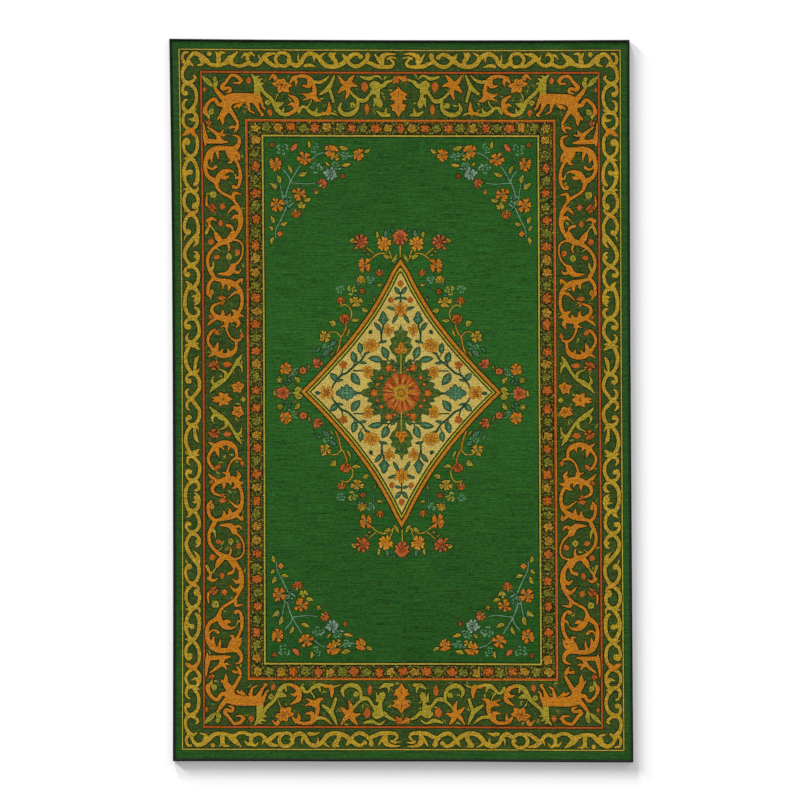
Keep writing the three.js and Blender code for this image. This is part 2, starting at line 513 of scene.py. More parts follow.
# Flowers that climb beside the medallion
sideSpray = {
    "blooms": [
        ((35.6, 128.4), 7.2, 6, "orange", 60), ((44.4, 91.6), 6, 5, "gold", 90),
        ((56.4, 74.4), 5.8, 7, "ember", 80), ((76.2, 56.4), 6, 5, "gold", 90),
        ((83.4, 29.6), 5.2, 6, "red", 60),
    ],
    "fans": [((39.4, 110.6), 7.6, 96, "gold"), ((59.4, 89.8), 6.8, 86, "ember")],
    "knots": [((38.4, 102), 3, 5, "rust"), ((97.8, 22.4), 3.8, 6, "red")],
    "leaves": [
        ((38.8, 85), (32.2, 82.4), 4.6), ((49.8, 73.4), (41, 73.8), 3.8), ((65.4, 66.8), (71.4, 72), 5.6),
        ((54.3, 56.6), (51, 65), 2.4), ((64.6, 51.6), (71, 46.2), 4.6, "teal"),
        ((70.6, 42.6), (78.6, 36.4), 4.8, "teal"), ((41, 107.5), (44, 110.6), 2.6, "teal"),
        ((66, 42), (71, 36.4), 2.6, "moss"), ((80, 46), (84.6, 40.6), 2.6, "teal"),
        ((91, 29.4), (92.6, 21.6), 2.4, "moss"), ((46.5, 99), (42.5, 97.6), 2.4, "teal"),
    ],
    "stems": [
        ([(60.6, 86.8), (56, 88.6), (51.8, 86.4), (49.4, 82.4), (49, 77.8), (50.8, 73.6), (52.8, 71.4)],
         [1.4, 1.9, 1.8, 1.6], "gold"),
        ([(55.4, 70), (54.7, 66.2), (57.3, 59.4), (59.9, 55.4), (61, 49.7), (62.5, 43.7), (65, 38)],
         [1.8, 2, 2.2], "orange"),
        ([(60, 56.4), (63.3, 60.2), (67.8, 61.3), (72.3, 60.2)], [1.8, 1.5], "gold"),
        ([(48.8, 106.6), (48.4, 102.6)], [1.2, 1.2], "moss"),
        ([(66, 50), (72, 42), (80, 34.6)], [1.1, 1.2], "teal"),
    ],
    "scribbles": [((49, 103.2), 4, "straw"), ((60, 104), 3.4, "sea"), ((73, 45), 4.2, "sea")],
}

# Bunches off the tips of the short diagonal
sideBunch = {
    "blooms": [((114.8, 24.6), 6.8, 6, "orange", 90), ((118.2, 0), 6.4, 8, "red", 60)],
    "fans": [],
    "knots": [((121.4, 13.2), 3.6, 5, "moss")],
    "leaves": [
        ((101.6, 9.8), (106.6, 16.4), 4.4), ((99, 4.4), (106.8, 2.8), 4.4),
        ((97.8, -3.2), (109.8, 0.4), 2.6), ((104.4, 17), (104, 23.4), 1.6, "moss"),
        ((124.6, 0.8), (128, 0.4), 3.4), ((110, 10), (113.6, 14.6), 1.8, "teal"),
        ((112.6, 8), (117, 10.6), 1.6, "teal"), ((109.4, 17.6), (113, 16), 1.6, "sea"),
    ],
    "stems": [
        ([(98.6, 1.6), (105.5, 7.5), (111.5, 14), (113.6, 18.4)], [1.4, 1.2], "moss"),
        ([(103, 0), (112.5, 0.4)], [1.3, 1.6], "sky"),
        ([(111, 13), (116, 12), (119, 12.6)], [1, 1], "teal"),
    ],
    "scribbles": [((107, 22), 3.2, "sea")],
}

sprayLook = {
    "edge": 0.8,
    "stemShare": 0.62,      # how much of a chart's stem width is ink, the rest being its dark edge
    "leafBow": 0.18,
    "bigBloom": 5,          # an orange or gold bloom of more than this radius has a green eye
    "hearts": {"red": "crimson", "saffron": "vermilion", "ember": "crimson", "orange": "vermilion",
               "gold": "rust", "sky": "deep", "olive": "moss", "moss": "olive", "rust": "crimson",
               "teal": "deep"},
}


def withUsual(rows, ink):
    # a chart's rows, those without an ink of their own in the usual one
    return [row if isinstance(row[-1], str) else (*row, ink) for row in rows]


def drawSpray(chart):
    level, edge, hearts = levels["sprays"], sprayLook["edge"], sprayLook["hearts"]
    rows = []
    for route, widths, ink in withUsual(chart["stems"], "sea"):
        rows += stroke(route, np.array(widths) * sprayLook["stemShare"], ink, level, edge * 0.6, steps=3)
    for place, radius, ink in chart["scribbles"]:
        rows += scribble(place, radius, ink, level + 1)
    for base, tip, width, ink in withUsual(chart["leaves"], "olive"):
        vein = "moss" if ink == "olive" else None
        rows += leaf(base, tip, width, ink, level + 4, edge, width * sprayLook["leafBow"], vein)
    for place, radius, lobes, ink in chart["knots"]:
        rows += knot(place, radius, lobes, ink, level + 8, edge, heart=hearts[ink])
    for foot, size, turn, ink in chart["fans"]:
        rows += fan(foot, size, turn, ink, hearts[ink], level + 12, edge * 0.8)
    for place, radius, petals, ink, turn in chart["blooms"]:
        eye = "leafGreen" if ink in ("orange", "gold") and radius > sprayLook["bigBloom"] else None
        rows += bloom(place, radius, petals, ink, hearts[ink], turn, level + 12, edge, eye=eye)
    return rows


# The medallion: a long diamond with slightly hollow sides, left and up from its middle
medallion = {
    "middle": (-0.7, 6.6),
    # how far up its side tips are, and its sides as places to the side and up or down from there
    "sideTips": 1.2,
    "upperSide": [
        (0, 133), (8.6, 120), (15.4, 106.2), (30.8, 80), (49.5, 54.8), (65.4, 36.3), (82.7, 17.5),
        (99.8, 0),
    ],
    "lowerSide": [
        (0, 135.4), (7.6, 121.9), (14.4, 108), (29.8, 81.7), (48.3, 56.2), (64, 37.4), (81.3, 18.4),
        (99.8, 0),
    ],
    # how sharp the rims' tips are
    "topSharpness": 1.75,
    "sideSharpness": 0.9,
    # how much higher the motifs of its lower half stand than mirrored, how far down that starts in full,
    # and how far down the tip is, where it ends
    "lift": (2.2, 12, 134),
    "leafTrim": 1.4,        # taken off the width of a leaf for its dark rim
    "veinsFrom": 3.6,       # a leaf wider than this has veins
    "rims": [
        (1.1, "night"), (0, "rimOrange"), (-3, "night"), (-4.3, "lime"), (-6, "night"), (-7.3, "cream"),
    ],
    # place, radius, petals, ink, first petal's heading
    "blooms": [
        ((0, 84.2), 6.4, 6, "saffron", 90), ((29.6, 48.2), 7.2, 7, "saffron", 70),
        ((12.6, 62.8), 5, 6, "saffron", 90), ((32.4, 21.4), 6.4, 7, "saffron", 60),
        ((74.4, 0.8), 6.6, 6, "saffron", 60), ((57.6, 28.6), 3.6, 5, "ember", 80),
    ],
    # place, length, width, heading, ink
    "buds": [
        ((0, 109.6), 6.4, 5.4, 90, "ember"), ((9.7, 93.4), 6, 5, 100, "ember"),
        ((30.2, 61.4), 4.6, 3.4, 120, "deep"),
    ],
    # base, tip, width, teeth
    "leaves": [
        ((17.2, 68.4), (17.6, 81.6), 9.4, 2), ((20.2, 63), (26.4, 70.6), 4.4, 0),
        ((40.6, 40.4), (41.2, 50.4), 5.6, 0), ((46.3, 30.8), (48.4, 41.4), 6.8, 0),
        ((13.8, 35), (18.6, 46.4), 7.6, 0), ((18.6, 32.7), (32.4, 35.2), 6.4, 0),
        ((49, 20), (41.4, 8.8), 8, 0), ((64.4, 13), (70.4, 19.4), 6.2, 0),
        ((1.6, 99.6), (5.8, 106), 4.2, 0), ((21.1, 51.2), (14.2, 52.2), 2.8, 0),
        ((42.4, 31.6), (34.4, 30.2), 3, 0), ((64.8, 12.2), (58, 13.6), 2.4, 0),
        ((1, 95.6), (6.4, 94.2), 2.4, 0), ((4.4, 83.4), (13.6, 86.2), 3.2, 0),
        ((3, 78.6), (8.2, 70), 3.4, 0), ((81, 0.6), (85.6, 0.8), 2.2, 0),
        ((36.8, 39.2), (31.4, 41.6), 2.2, 0),
    ],
    "stems": [
        ([(0, 101), (0, 88)], [1.5, 1.7]),
        ([(17.2, 69.4), (18.4, 63), (19.6, 57.4), (19.4, 52.9), (22.6, 49), (25.6, 47.6)], [1.9, 1.9, 1.5]),
        ([(20.2, 63), (19.8, 59)], [1.2, 1.6]), ([(13.8, 35.4), (12, 32.4), (7.7, 31.8)], [1.4, 1.6]),
        ([(18.8, 32.7), (13, 32)], [1.4, 1.4]),
        ([(33.4, 43), (39, 33.8), (46.8, 27.2), (53.8, 20.6), (59.8, 18), (64.8, 12.2), (67.6, 8.2),
         (68.8, 4.6)], [1.8, 2.3, 2.3, 1.6]), ([(47.6, 22.4), (37.3, 22.7)], [1.6, 1.4]),
        ([(46.8, 27.2), (46.6, 31.2)], [1.5, 1.3]), ([(41, 40.4), (38.4, 36.4)], [1, 1.2]),
        ([(59.8, 18.2), (57.8, 25)], [1.8, 1.3]), ([(46.2, 0.7), (37, 0.8)], [1.2, 1.4]),
        ([(46.6, 31), (42.6, 31.6)], [1.2, 1.2]),
    ],
}

# The leafy star on the cream, the palmettes over and under it, and the great rosette in its middle
heartStar = {
    "body": 25.6,
    # how many flecks a quarter has, and how far from the middle
    "flecks": 64,
    "fleckReach": (19, 30),
    # the palmette's hanging bud
    "budFoot": (0, 41.6),
    "budStem": [(0, 41), (0, 19)],
    # base, tip, width
    "lobes": [
        ((14, 0.4), (40.4, 0.8), 14.6), ((16, 4), (33.6, 9.6), 11), ((15, 8), (30.6, 16.6), 9),
        ((13, 10), (27.6, 23.2), 12), ((9, 14), (19.4, 33), 12.6), ((4, 18), (9.6, 34), 10),
    ],
    # from the tip down one side
    "palmette": [
        (0, 68.6), (1.9, 62.6), (6.9, 61.6), (5, 56.8), (10.2, 54.2), (8.6, 49.4), (11.4, 46.4), (8.4, 41),
        (4.4, 37), (3.4, 30), (0, 24),
    ],
    "veins": [
        ((1.6, 55), (4.4, 59)), ((2.4, 49), (8.4, 52)), ((4, 42.6), (9, 45.4)), ((0.6, 60), (0.9, 65)),
    ],
    "sideLeaf": {
        "teeth": [((57, 0.6), (64.6, 1), 7.6), ((54.2, 0.6), (54, 8.6), 7.6), ((51, 0.4), (44.8, 0.8), 7),
         ((55.8, 1.6), (59.4, 6.2), 5.6), ((52.4, 1.6), (49.2, 5.8), 5.2)],
        "veins": [((47.4, 0.4), (62, 0.6)), ((54.2, 1), (54.1, 6.8)), ((51.4, 1.4), (49.4, 4.2)),
         ((56.8, 1.4), (58.8, 4.2))],
    },
    # place, radius, petals
    "flowers": [
        ((26.8, 0.6), 4, 5), ((12.2, 25.4), 4, 5), ((19.8, 15.4), 2.4, 4), ((23.4, 8.8), 2.1, 4),
        ((6.6, 23.4), 2, 4),
    ],
    "rosette": {
        "middle": (0, 0.6), "radius": 19.2, "taller": 1.06, "petals": 26, "petalWidth": 3.9, "ring": 7.4,
        "beads": 11, "beadTurn": 32.7, "eye": 3.4,
    },
}


def drawMedallion():
    rims = [(levels["medallion"] + number, diamondIn(amount), ink)
            for number, (amount, ink) in enumerate(medallion["rims"])]
    quarter = []
    for route, widths in medallion["stems"]:
        quarter.append((levels["leaves"] - 1, ribbon(route, widths, 3), "deep"))
    for base, tip, width, teeth in medallion["leaves"]:
        quarter += creamLeaf(base, tip, width - medallion["leafTrim"], teeth)
    for place, radius, petals, ink, turn in medallion["blooms"]:
        quarter += bloom(place, radius, petals, ink, "rust", turn, levels["blooms"], 0.7, rim="rust")
    for place, length, width, turn, ink in medallion["buds"]:
        heart = "deep" if ink == "deep" else "rust"
        quarter += bud(place, length, width, turn, ink, levels["blooms"], 0.4, heart)
    rows = rims + lifted(fourCorners(quarter + drawStar(), wanders["medallion"])) + drawRosette()
    return moved(rows, shift=medallion["middle"])


def creamLeaf(base, tip, width, teeth):
    # a green leaf with a dark rim, lighter in its middle, and pale veins where it is big enough
    level = levels["leaves"]
    shape = toothedLeaf(base, tip, width, teeth) if teeth else leafShape(base, tip, width, width * 0.1)
    base, axis, _ = spine(base, tip)
    rows = inked(shape, "leafGreen", level, 1.0, "deep")
    rows.append((level + 1.5, leafShape(base + axis * 0.12, tip - axis * 0.1, width * 0.6), "teal"))
    if width > medallion["veinsFrom"]:
        across = np.array([-axis[1], axis[0]]) * width / np.hypot(*axis) * 0.3
        rows.append((level + 2, fleck(base + axis * 0.14, tip - axis * 0.16, 0.9), "sea"))
        for share, side in ((0.3, 1), (0.5, -1), (0.62, 1)):
            foot = base + axis * share
            rows.append((level + 2, fleck(foot, foot + axis * 0.16 + across * side, 0.9), "teal"))
    return rows


def sideIn(chart, amount):
    # one side of the medallion's outline pushed out or in, kept hollow and its tips sharp
    side = smoothLine(chart, 4)
    left = sideways(side)
    side = side - left * amount * np.sign(np.sum(left[len(left) // 2] * (-1, -1)))
    topTip = side[:, 1].max() + side[0, 0] * medallion["topSharpness"]
    sideTip = side[:, 0].max() + side[-1, 1] * medallion["sideSharpness"]
    side = side[(side[:, 0] > 0.2) & (side[:, 1] > 0.2)]
    return np.vstack([(0, topTip), side, (sideTip, 0)])


def diamondIn(amount):
    upper = sideIn(medallion["upperSide"], amount)
    lower = sideIn(medallion["lowerSide"], amount) * (1, -1)
    right = np.vstack([upper, lower[-2::-1]])
    return np.vstack([right, right[-2:0:-1] * (-1, 1)]) + (0, medallion["sideTips"])


def lifted(rows):
    # the motifs of the lower half, moved up a little but for those at the middle and the tip
    height, fullFrom, tip = medallion["lift"]
    result = []
    for level, outline, ink in rows:
        depth = np.maximum(-outline[:, 1], 0)
        lift = height * np.minimum(depth / fullFrom, 1) * (1 - np.minimum(depth / tip, 1) ** 3)
        result.append((level, outline + np.column_stack([np.zeros_like(lift), lift]), ink))
    return result


def drawStar():
    # a quarter of the star, its palmette and its side leaf, with flecks and small flowers
    level = levels["star"]
    rows = []
    for base, tip, width in heartStar["lobes"]:
        rows += inked(toothedLeaf(base, tip, width, 3, 0.2), "fern", level, 0.7, "deep")
    half = np.array(heartStar["palmette"], float)
    rows += inked(np.vstack([half, (half * (-1, 1))[-2:0:-1]]), "fern", level, 0.6, "deep")
    for base, tip, width in heartStar["sideLeaf"]["teeth"]:
        shape = toothedLeaf(base, tip, width - medallion["leafTrim"], 2)
        rows += inked(shape, "teal", levels["blooms"], 0.9, "deep")
    for start, end in heartStar["sideLeaf"]["veins"]:
        rows.append((levels["blooms"] + 2, fleck(start, end, 1.2), "sea"))
    rows.append((level + 1, disc((0, 0), heartStar["body"], 24), "fern"))
    rng = np.random.default_rng(3)
    for number in range(heartStar["flecks"]):
        spot = heading(rng.uniform(0, 90)) * rng.uniform(*heartStar["fleckReach"])
        ink = ("moss", "night", "teal", "deep")[number % 4]
        rows.append((level + 2, fleck(spot, spot + rng.uniform(-2.8, 2.8, 2), 1.3), ink))
    for start, end in heartStar["veins"]:
        rows.append((level + 2, fleck(start, end, 1.2), "moss"))
    level = levels["starFlowers"]
    for place, radius, lobes in heartStar["flowers"]:
        rows += knot(place, radius, lobes, "ember", level, 0.6, 75, 0.36, "orange")
    # the palmette's hanging bud and its stem
    foot = np.array(heartStar["budFoot"])
    for turn, reach in ((90, 10.0), (158, 6.6), (22, 6.6)):
        tip = foot + heading(turn) * reach
        rows += leaf(foot, tip, 5.4, "orange", level + 1, 0.5, vein="rust", rim="rust")
    rows.append((level + 3, ribbon(heartStar["budStem"], [1.0, 1.4], 2), "olive"))
    return rows


def drawRosette():
    # long petals in three reds with streaks between them, round a beaded ring and a small bloom
    size = heartStar["rosette"]
    level = levels["rosette"]
    ring, eye = size["ring"], size["eye"]
    rows = [(level, disc((0, 0), size["radius"] - 1.0, 30), "crimson")]
    rng = np.random.default_rng(12)
    for number in range(size["petals"]):
        way = heading(360 * (number + 0.5) / size["petals"] + rng.uniform(-2.4, 2.4))
        reach = size["radius"] + rng.uniform(-1.4, 0.7)
        start = way * ring * 0.8
        petal = petalShape(start, way * reach, size["petalWidth"])
        rows.append((level + 1, petal, ("vermilion", "red", "ember")[number % 3]))
        beside = np.array([-way[1], way[0]]) * rng.uniform(0.3, 1.1)
        streak = fleck(start + beside, way * reach * 0.94 + beside, 1.2)
        rows.append((level + 2, streak, ("saffron", "crimson", "straw", "orange", "crimson")[number % 5]))
    rows.append((level + 3, disc((0, 0), ring + 0.4, 18), "rust"))
    for number in range(size["beads"]):
        place = heading(size["beadTurn"] * number) * (ring - 1.5)
        rows += knot(place, 2.2, 4, "gold" if number % 3 else "saffron", level + 4, 0, number * 40)
        rows.append((level + 6, fleck(place, place + rng.uniform(-1.8, 1.8, 2), 1.0), "crimson"))
    rows.append((level + 5, disc((0, 0), eye + 0.2, 9), "rust"))
    rows += bloom((0, 0), eye - 0.2, 5, "saffron", "crimson", 90, level + 7, 0)
    return moved(rows, (1, size["taller"]), size["middle"])


def drawField():
    corner = moved(drawSpray(cornerSpray), shift=cornerSpray["shift"])
    rows = fourCorners(corner, wanders["cornerSprays"])
    rows += fourCorners(drawSpray(tipSpray) + drawSpray(sideSpray), wanders["sprays"], medallion["middle"])
    rows += fourCorners(drawSpray(sideBunch), wanders["bunches"], medallion["middle"])
    return rows


# The wide border's scrolls, upper half of the left side:
# depth in from the vermilion line, then up from the middle
sideScrolls = {
    # the route, its widths, ink where it is an unusual one
    "vines": [
        ([(31.5, 264), (36.5, 262), (37.4, 256.5), (33.5, 251), (26, 249.6)], [1.4, 2.8, 3.6, 5.2, 5.6]),
        ([(32, 250), (24, 250.8), (15, 250.6), (8, 246.5), (4.2, 239), (3.4, 230), (6, 222.6),
         (13.5, 217.5)], [5.4, 4.4, 5.2, 5.4, 4.2, 3.6, 3.8, 5.2]),
        ([(26, 248.5), (31, 243), (35, 236.5), (37.4, 230), (38.2, 223), (37.2, 216), (34.5, 211.6),
         (31, 212.6)], [4.8, 4.6, 3, 3, 3.6, 3.2, 2.4, 4.4]),
        ([(4.6, 236), (6.6, 231.6), (10.4, 230), (14.2, 232.6)], [1.6, 2, 2, 3.2]),
        ([(14.5, 216.5), (16.5, 222.5), (21, 226.6), (26.5, 228.6), (31.5, 227.4)],
         [4.6, 5, 5.8, 3.2, 1.2]),
        ([(13.5, 218), (15, 212), (18, 207.5), (24, 204), (29.5, 201), (33.5, 196), (37, 189.5), (38, 181),
         (37.4, 173), (34.2, 166.4), (29, 160.5), (21, 157)], [4.8, 3.2, 2.6, 2.6, 3.2, 2.6, 3.2, 5.6, 4.6,
         3.4, 4.8, 5.6]), ([(12.5, 166.5), (15.2, 161.5), (19, 157)], [3.2, 6, 5]),
        ([(19.5, 157), (13.5, 153), (8.8, 148.5), (5.6, 143), (4.8, 136.5), (6.4, 130), (9.5, 124.5),
         (11.5, 120.5)], [5.2, 3.4, 3, 3.4, 2.8, 3.4, 4.4, 3.2]),
        ([(20, 157), (26, 159.2), (33, 159.2), (38, 156.8), (40, 152), (39.6, 145.5), (37.4, 140),
         (34, 136), (30.5, 132.6)], [5.2, 2.6, 2, 2, 1.6, 1.6, 2, 2.2, 1.6]),
        ([(11, 120.5), (17, 119), (23, 117.6), (29, 116), (34, 112.8), (37.6, 108), (39, 101), (38.4, 94),
         (36, 88.5), (32, 83)], [3.2, 3.4, 5.6, 6, 4.6, 4.2, 3.2, 3.2, 3.6, 5.2]),
        ([(11, 121), (6.6, 116), (5, 110), (6, 105.5), (8, 100.5)], [3.6, 3.4, 3, 5.4, 1]),
        ([(21.5, 98), (15, 95.8), (10.4, 93.6), (8.6, 89.8), (10.2, 85.5), (15, 82), (22, 80.2), (29, 80),
         (34, 83)], [1.4, 2, 2.8, 3.4, 3.6, 4.6, 6.6, 6.2, 4.8]),
        ([(23.5, 78), (23, 71), (25.4, 64.5), (28.2, 60.8), (32.2, 58.8), (36.6, 59.6), (38.8, 62)],
         [5.4, 2.2, 1.7, 2, 2.6, 2.4, 1.4]),
        ([(33, 58.5), (32.6, 51.5), (29.6, 47), (24.5, 44.2), (18, 44), (12.5, 47), (7.8, 51.5), (4.8, 57),
         (5, 62), (8.2, 67.4), (12, 70)], [2.6, 3.2, 4.8, 4.8, 5.2, 6, 3, 2.6, 2.8, 3, 1.6]),
        ([(6, 7), (10.5, 12), (16.5, 17), (22, 20.5), (26.5, 26), (30.5, 32.5), (34.5, 39), (38.5, 45)],
         [1.2, 4.2, 5.4, 3.4, 2.8, 3, 4.2, 1.2], "olive"),
        ([(1.9, 276), (2.6, 268), (3.8, 261), (3.6, 253)], [1.4, 2.8, 5, 1.2]),
        ([(3.8, 258), (12, 257.6), (20, 257.6), (26, 257)], [5, 4.2, 4.2, 1.2]),
        ([(6, 272), (11.5, 268), (16, 264), (18, 259)], [1.6, 3.2, 4, 5.2]),
        ([(4.6, 203), (3.9, 197.5), (4.8, 193.5), (8, 190.5)], [1.4, 2.2, 2.6, 3]),
    ],
    # where a lobe starts, where it bends, its tip, its width, ink where it is an unusual one
    "curls": [
        ((17, 264), (20, 266), (21.8, 269.5), 3.6), ((19.5, 264.5), (22, 263.8), (25.6, 265), 2.6),
        ((10.5, 248.5), (9, 243), (10, 236.6), 5), ((14.8, 248.5), (16, 244), (16.2, 239.6), 3.2),
        ((25, 248), (27, 243), (29.8, 238), 3.6), ((29.8, 240.4), (28.6, 237), (25.2, 236.2), 3.4),
        ((30.5, 247), (35.2, 245.8), (38, 241.4), 5), ((33.5, 241.6), (36, 241), (38.6, 238.6), 2.8),
        ((38, 222.6), (35, 221.2), (32.4, 223.5), 3), ((18, 223.6), (23, 221.6), (26.4, 223), 5.2),
        ((33.4, 221), (33, 224.5), (30.4, 227), 1.2, "olive"), ((30.8, 200.5), (32, 206), (39, 205), 3.8),
        ((38, 187.6), (31.6, 192), (25.2, 186), 4.6), ((37.2, 180), (33, 183), (28.6, 179.6), 4.2),
        ((24.8, 156.8), (26.4, 151.5), (25, 147), 2.6),
        ((13.4, 151), (16, 149.4), (18.4, 147), 1.2, "olive"),
        ((30.6, 133.4), (25.6, 126), (15.6, 125.4), 6.4), ((30, 128.6), (35, 126.6), (38.4, 130.6), 3.2),
        ((19, 117.6), (20.2, 114), (19.4, 110.4), 3.4), ((25.4, 116), (26.2, 112), (25.2, 108.4), 3.8),
        ((33.8, 116.6), (38.8, 120), (38.4, 115), 3.2), ((37.2, 106.6), (32, 106.8), (24.2, 100.2), 3.4),
        ((19, 82.5), (19.8, 86), (19.2, 89.4), 4), ((25, 82.6), (26.6, 84.4), (26.6, 86.6), 2.8),
        ((33.5, 84.5), (31.4, 88), (28.2, 89.4), 4.4), ((34, 83), (37, 84.2), (40.4, 83), 3.8),
        ((32.4, 80.4), (35.4, 76), (32.8, 71.6), 4.6), ((13, 81.4), (8, 77.8), (4.2, 73.6), 3.8),
        ((24.4, 73.6), (21, 73.6), (17.2, 72.2), 2.8), ((12.4, 48.5), (13.4, 52), (14.6, 56.8), 4.6),
        ((12, 48), (9, 45), (5.2, 42.6), 3.6), ((24.8, 45), (25.4, 48), (24.2, 51), 3.4),
        ((18.4, 44.6), (18, 48), (20.4, 50.6), 2.6), ((22.5, 22), (21.6, 27.4), (14.4, 30.6), 3.4, "olive"),
        ((11.5, 14), (8.4, 18), (10.6, 23.6), 3.4, "olive"),
        ((33, 36.5), (37.4, 34), (38.8, 27.4), 3.6, "olive"),
        ((3.4, 165.6), (7.4, 173), (13.4, 165.6), 3, "olive"),
        ((24.2, 173.8), (29, 172.2), (30.8, 166), 3.4),
        ((8.4, 129.5), (10.2, 132.5), (10.8, 138), 3.2, "olive"),
        ((30.4, 166.2), (27.4, 162), (21.4, 157.4), 5.6), ((5, 178.2), (9.4, 180.6), (14, 178.4), 3.8),
        ((6.2, 178), (7, 173.6), (4.4, 167.6), 3), ((36, 274), (34.8, 270), (32.4, 266.6), 3.6),
        ((28.4, 271.5), (32, 272.4), (36.4, 270.4), 2.8), ((20.6, 279), (21.4, 276.4), (20.4, 273.6), 2.6),
    ],
    # place, length, width, heading, ink
    "buds": [
        ((20, 193), 7, 5.6, 90, "ember"), ((18, 176), 7.6, 5, 90, "ember"),
        ((8.5, 157.4), 7, 6.4, 60, "ember"), ((14.3, 142.3), 7, 5, 10, "ember"),
        ((34.6, 147), 7, 5.6, 300, "ember"), ((18.8, 101.3), 8.4, 4.8, 0, "ember"),
        ((7.4, 82.4), 6.4, 4.6, 140, "rust"), ((38.4, 64), 6.4, 4.4, 80, "ember"),
        ((13.6, 66.6), 7, 4.6, 320, "ember"), ((24, 35), 9.6, 5.8, 0, "ember"),
        ((26, 142.6), 7.4, 6.4, 90, "olive"), ((11, 204.6), 8, 7.4, 40, "olive"),
        ((8.6, 106.6), 6.6, 4.4, 270, "orange"), ((19, 95.4), 3.8, 3.2, 0, "ember"),
        ((38.4, 37.4), 3, 2.6, 90, "olive"),
    ],
    # place, radius, petals, ink
    "roundBlooms": [
        ((9.4, 191.4), 4.8, 7, "ember"), ((10.2, 33.8), 5.4, 7, "ember"), ((7.4, 276), 3.4, 6, "ember"),
    ],
    "pointedBlooms": [((34.6, 12.4), 7.4, 5, "orange", 85)],
}

# The same on the left half of the top: left from the middle, then depth in from the vermilion line
endScrolls = {
    "vines": [
        ([(140, 11), (137.5, 17.5), (133, 22.4), (128, 27), (124.2, 33), (121.5, 38.4), (116.4, 42),
         (110.5, 42)], [3.6, 3, 3.6, 3.4, 4.6, 4.8, 3.6, 3.4], "olive"),
        ([(111.5, 42), (105.6, 38.6), (102.8, 33), (103.8, 27), (110.8, 22.6)], [3.2, 4.2, 4.4, 4.8, 1.4]),
        ([(110, 11.6), (106, 6.2), (100, 3.8), (93, 4.2), (88.2, 7.6), (85.6, 13), (84.8, 20), (86.6, 25)],
         [1.4, 3.6, 3, 3.8, 4.4, 3.4, 4.6, 3]),
        ([(87, 9), (80.8, 9.8), (75.6, 8.2), (70.4, 3.6)], [3.4, 3.2, 3, 1.2], "gold"),
        ([(101, 39.5), (97.8, 34.6), (94, 35), (90, 39.2), (84, 42.2), (78, 41.6), (72, 40.2)],
         [3.6, 3.2, 2.6, 3.6, 3.8, 3, 3.2], "olive"),
        ([(65, 3), (67.4, 9), (70.4, 14.6), (74.6, 18.6), (79.4, 21.8)], [1.4, 3.4, 4.6, 4, 2.6], "olive"),
        ([(70.6, 15), (68.6, 21), (66.4, 28.8)], [3.6, 3.2, 3], "olive"),
        ([(50.6, 17), (47, 22), (43, 25.6), (38.6, 28), (34, 27.4), (31, 23.4), (27.6, 19)],
         [2, 2.6, 2.8, 4.2, 3.4, 2.8, 3], "olive"),
        ([(58.4, 30.6), (60.4, 36), (57.4, 40.6), (52, 42), (46.6, 40.2), (42.8, 36), (42, 30.6),
         (42, 26.4)], [1.4, 3.8, 4.2, 4.8, 4.6, 3.6, 3, 2.8], "olive"),
        ([(26.4, 16), (23.4, 12.4), (18, 14), (13, 9.8), (5.6, 7)], [5.4, 6.6, 4.4, 3.4, 1.8], "olive"),
        ([(22.4, 15), (22, 24), (20, 32.4)], [6, 3.8, 6.8], "olive"),
        ([(38.8, 4), (34, 5.6), (29.6, 5.8), (25, 3.6), (21, 3.8), (17.4, 7.2)], [2.2, 3.4, 4, 2.4, 2.2, 1],
         "olive"), ([(23.4, 38.4), (18, 41.8), (10.4, 42.4)], [1.4, 4.4, 3], "olive"),
    ],
    "curls": [
        ((123.4, 32.4), (120, 32), (115.6, 30.4), 6, "olive"),
        ((119.4, 39.6), (116.6, 38.6), (115.8, 35), 3.2, "olive"),
        ((104.4, 34.6), (107.6, 31.4), (111.6, 33), 3.8), ((106, 5.4), (103, 9), (103.6, 13.6), 4),
        ((89.6, 8), (90.6, 13.6), (97, 13.2), 5.2), ((86.2, 21.4), (91, 23), (97.2, 21.2), 5),
        ((87, 24), (92, 25.8), (97.2, 28), 3), ((86, 23.4), (83.4, 27), (79.2, 28.6), 5.2),
        ((88.4, 41), (84, 39.6), (82.4, 34.8), 3.6, "olive"),
        ((92.8, 35), (89.4, 31), (87.6, 25.6), 1.8, "olive"), ((71.8, 41), (70.4, 36), (70.6, 29.6), 5.2),
        ((69.4, 40.4), (65, 41.6), (61.4, 43.6), 2.2, "olive"),
        ((25.2, 26), (25, 30), (26.4, 34.6), 3, "olive"),
        ((15.6, 42.4), (14.2, 38.6), (14, 34.6), 3.4, "olive"), ((52.4, 13), (57, 9.4), (61.4, 3), 5),
        ((52.4, 13), (49.4, 7.6), (45.6, 2.6), 5.4), ((52.4, 13), (47.6, 12), (42.6, 13.6), 5.6),
        ((52.4, 13), (57, 16), (61.6, 20.4), 5.4), ((52.4, 13), (51.6, 20), (54, 26.6), 5),
        ((122, 9), (125.6, 3.4), (130, 7.4), 4.4), ((119.8, 20), (122.6, 23.4), (124, 28.4), 1.6, "olive"),
        ((79, 42), (77, 40), (72, 41), 2.4), ((28.6, 13), (26, 10), (22, 9.6), 4.4, "olive"),
        ((28, 19), (25, 20), (22.4, 17), 4, "olive"),
    ],
    "buds": [
        ((131.6, 30.2), 5.6, 5.6, 90, "olive"), ((129.6, 40.4), 8, 5, 100, "ember"),
        ((47, 32.6), 6, 6.2, 60, "olive"), ((35.2, 14.4), 11.4, 7.4, 90, "ember"),
        ((33, 36.6), 11.6, 5.2, 90, "ember"), ((3.6, 7), 8, 6, 120, "ember"),
    ],
    "roundBlooms": [],
    "pointedBlooms": [((117.6, 12.6), 9.4, 6, "orange", 62)],
}

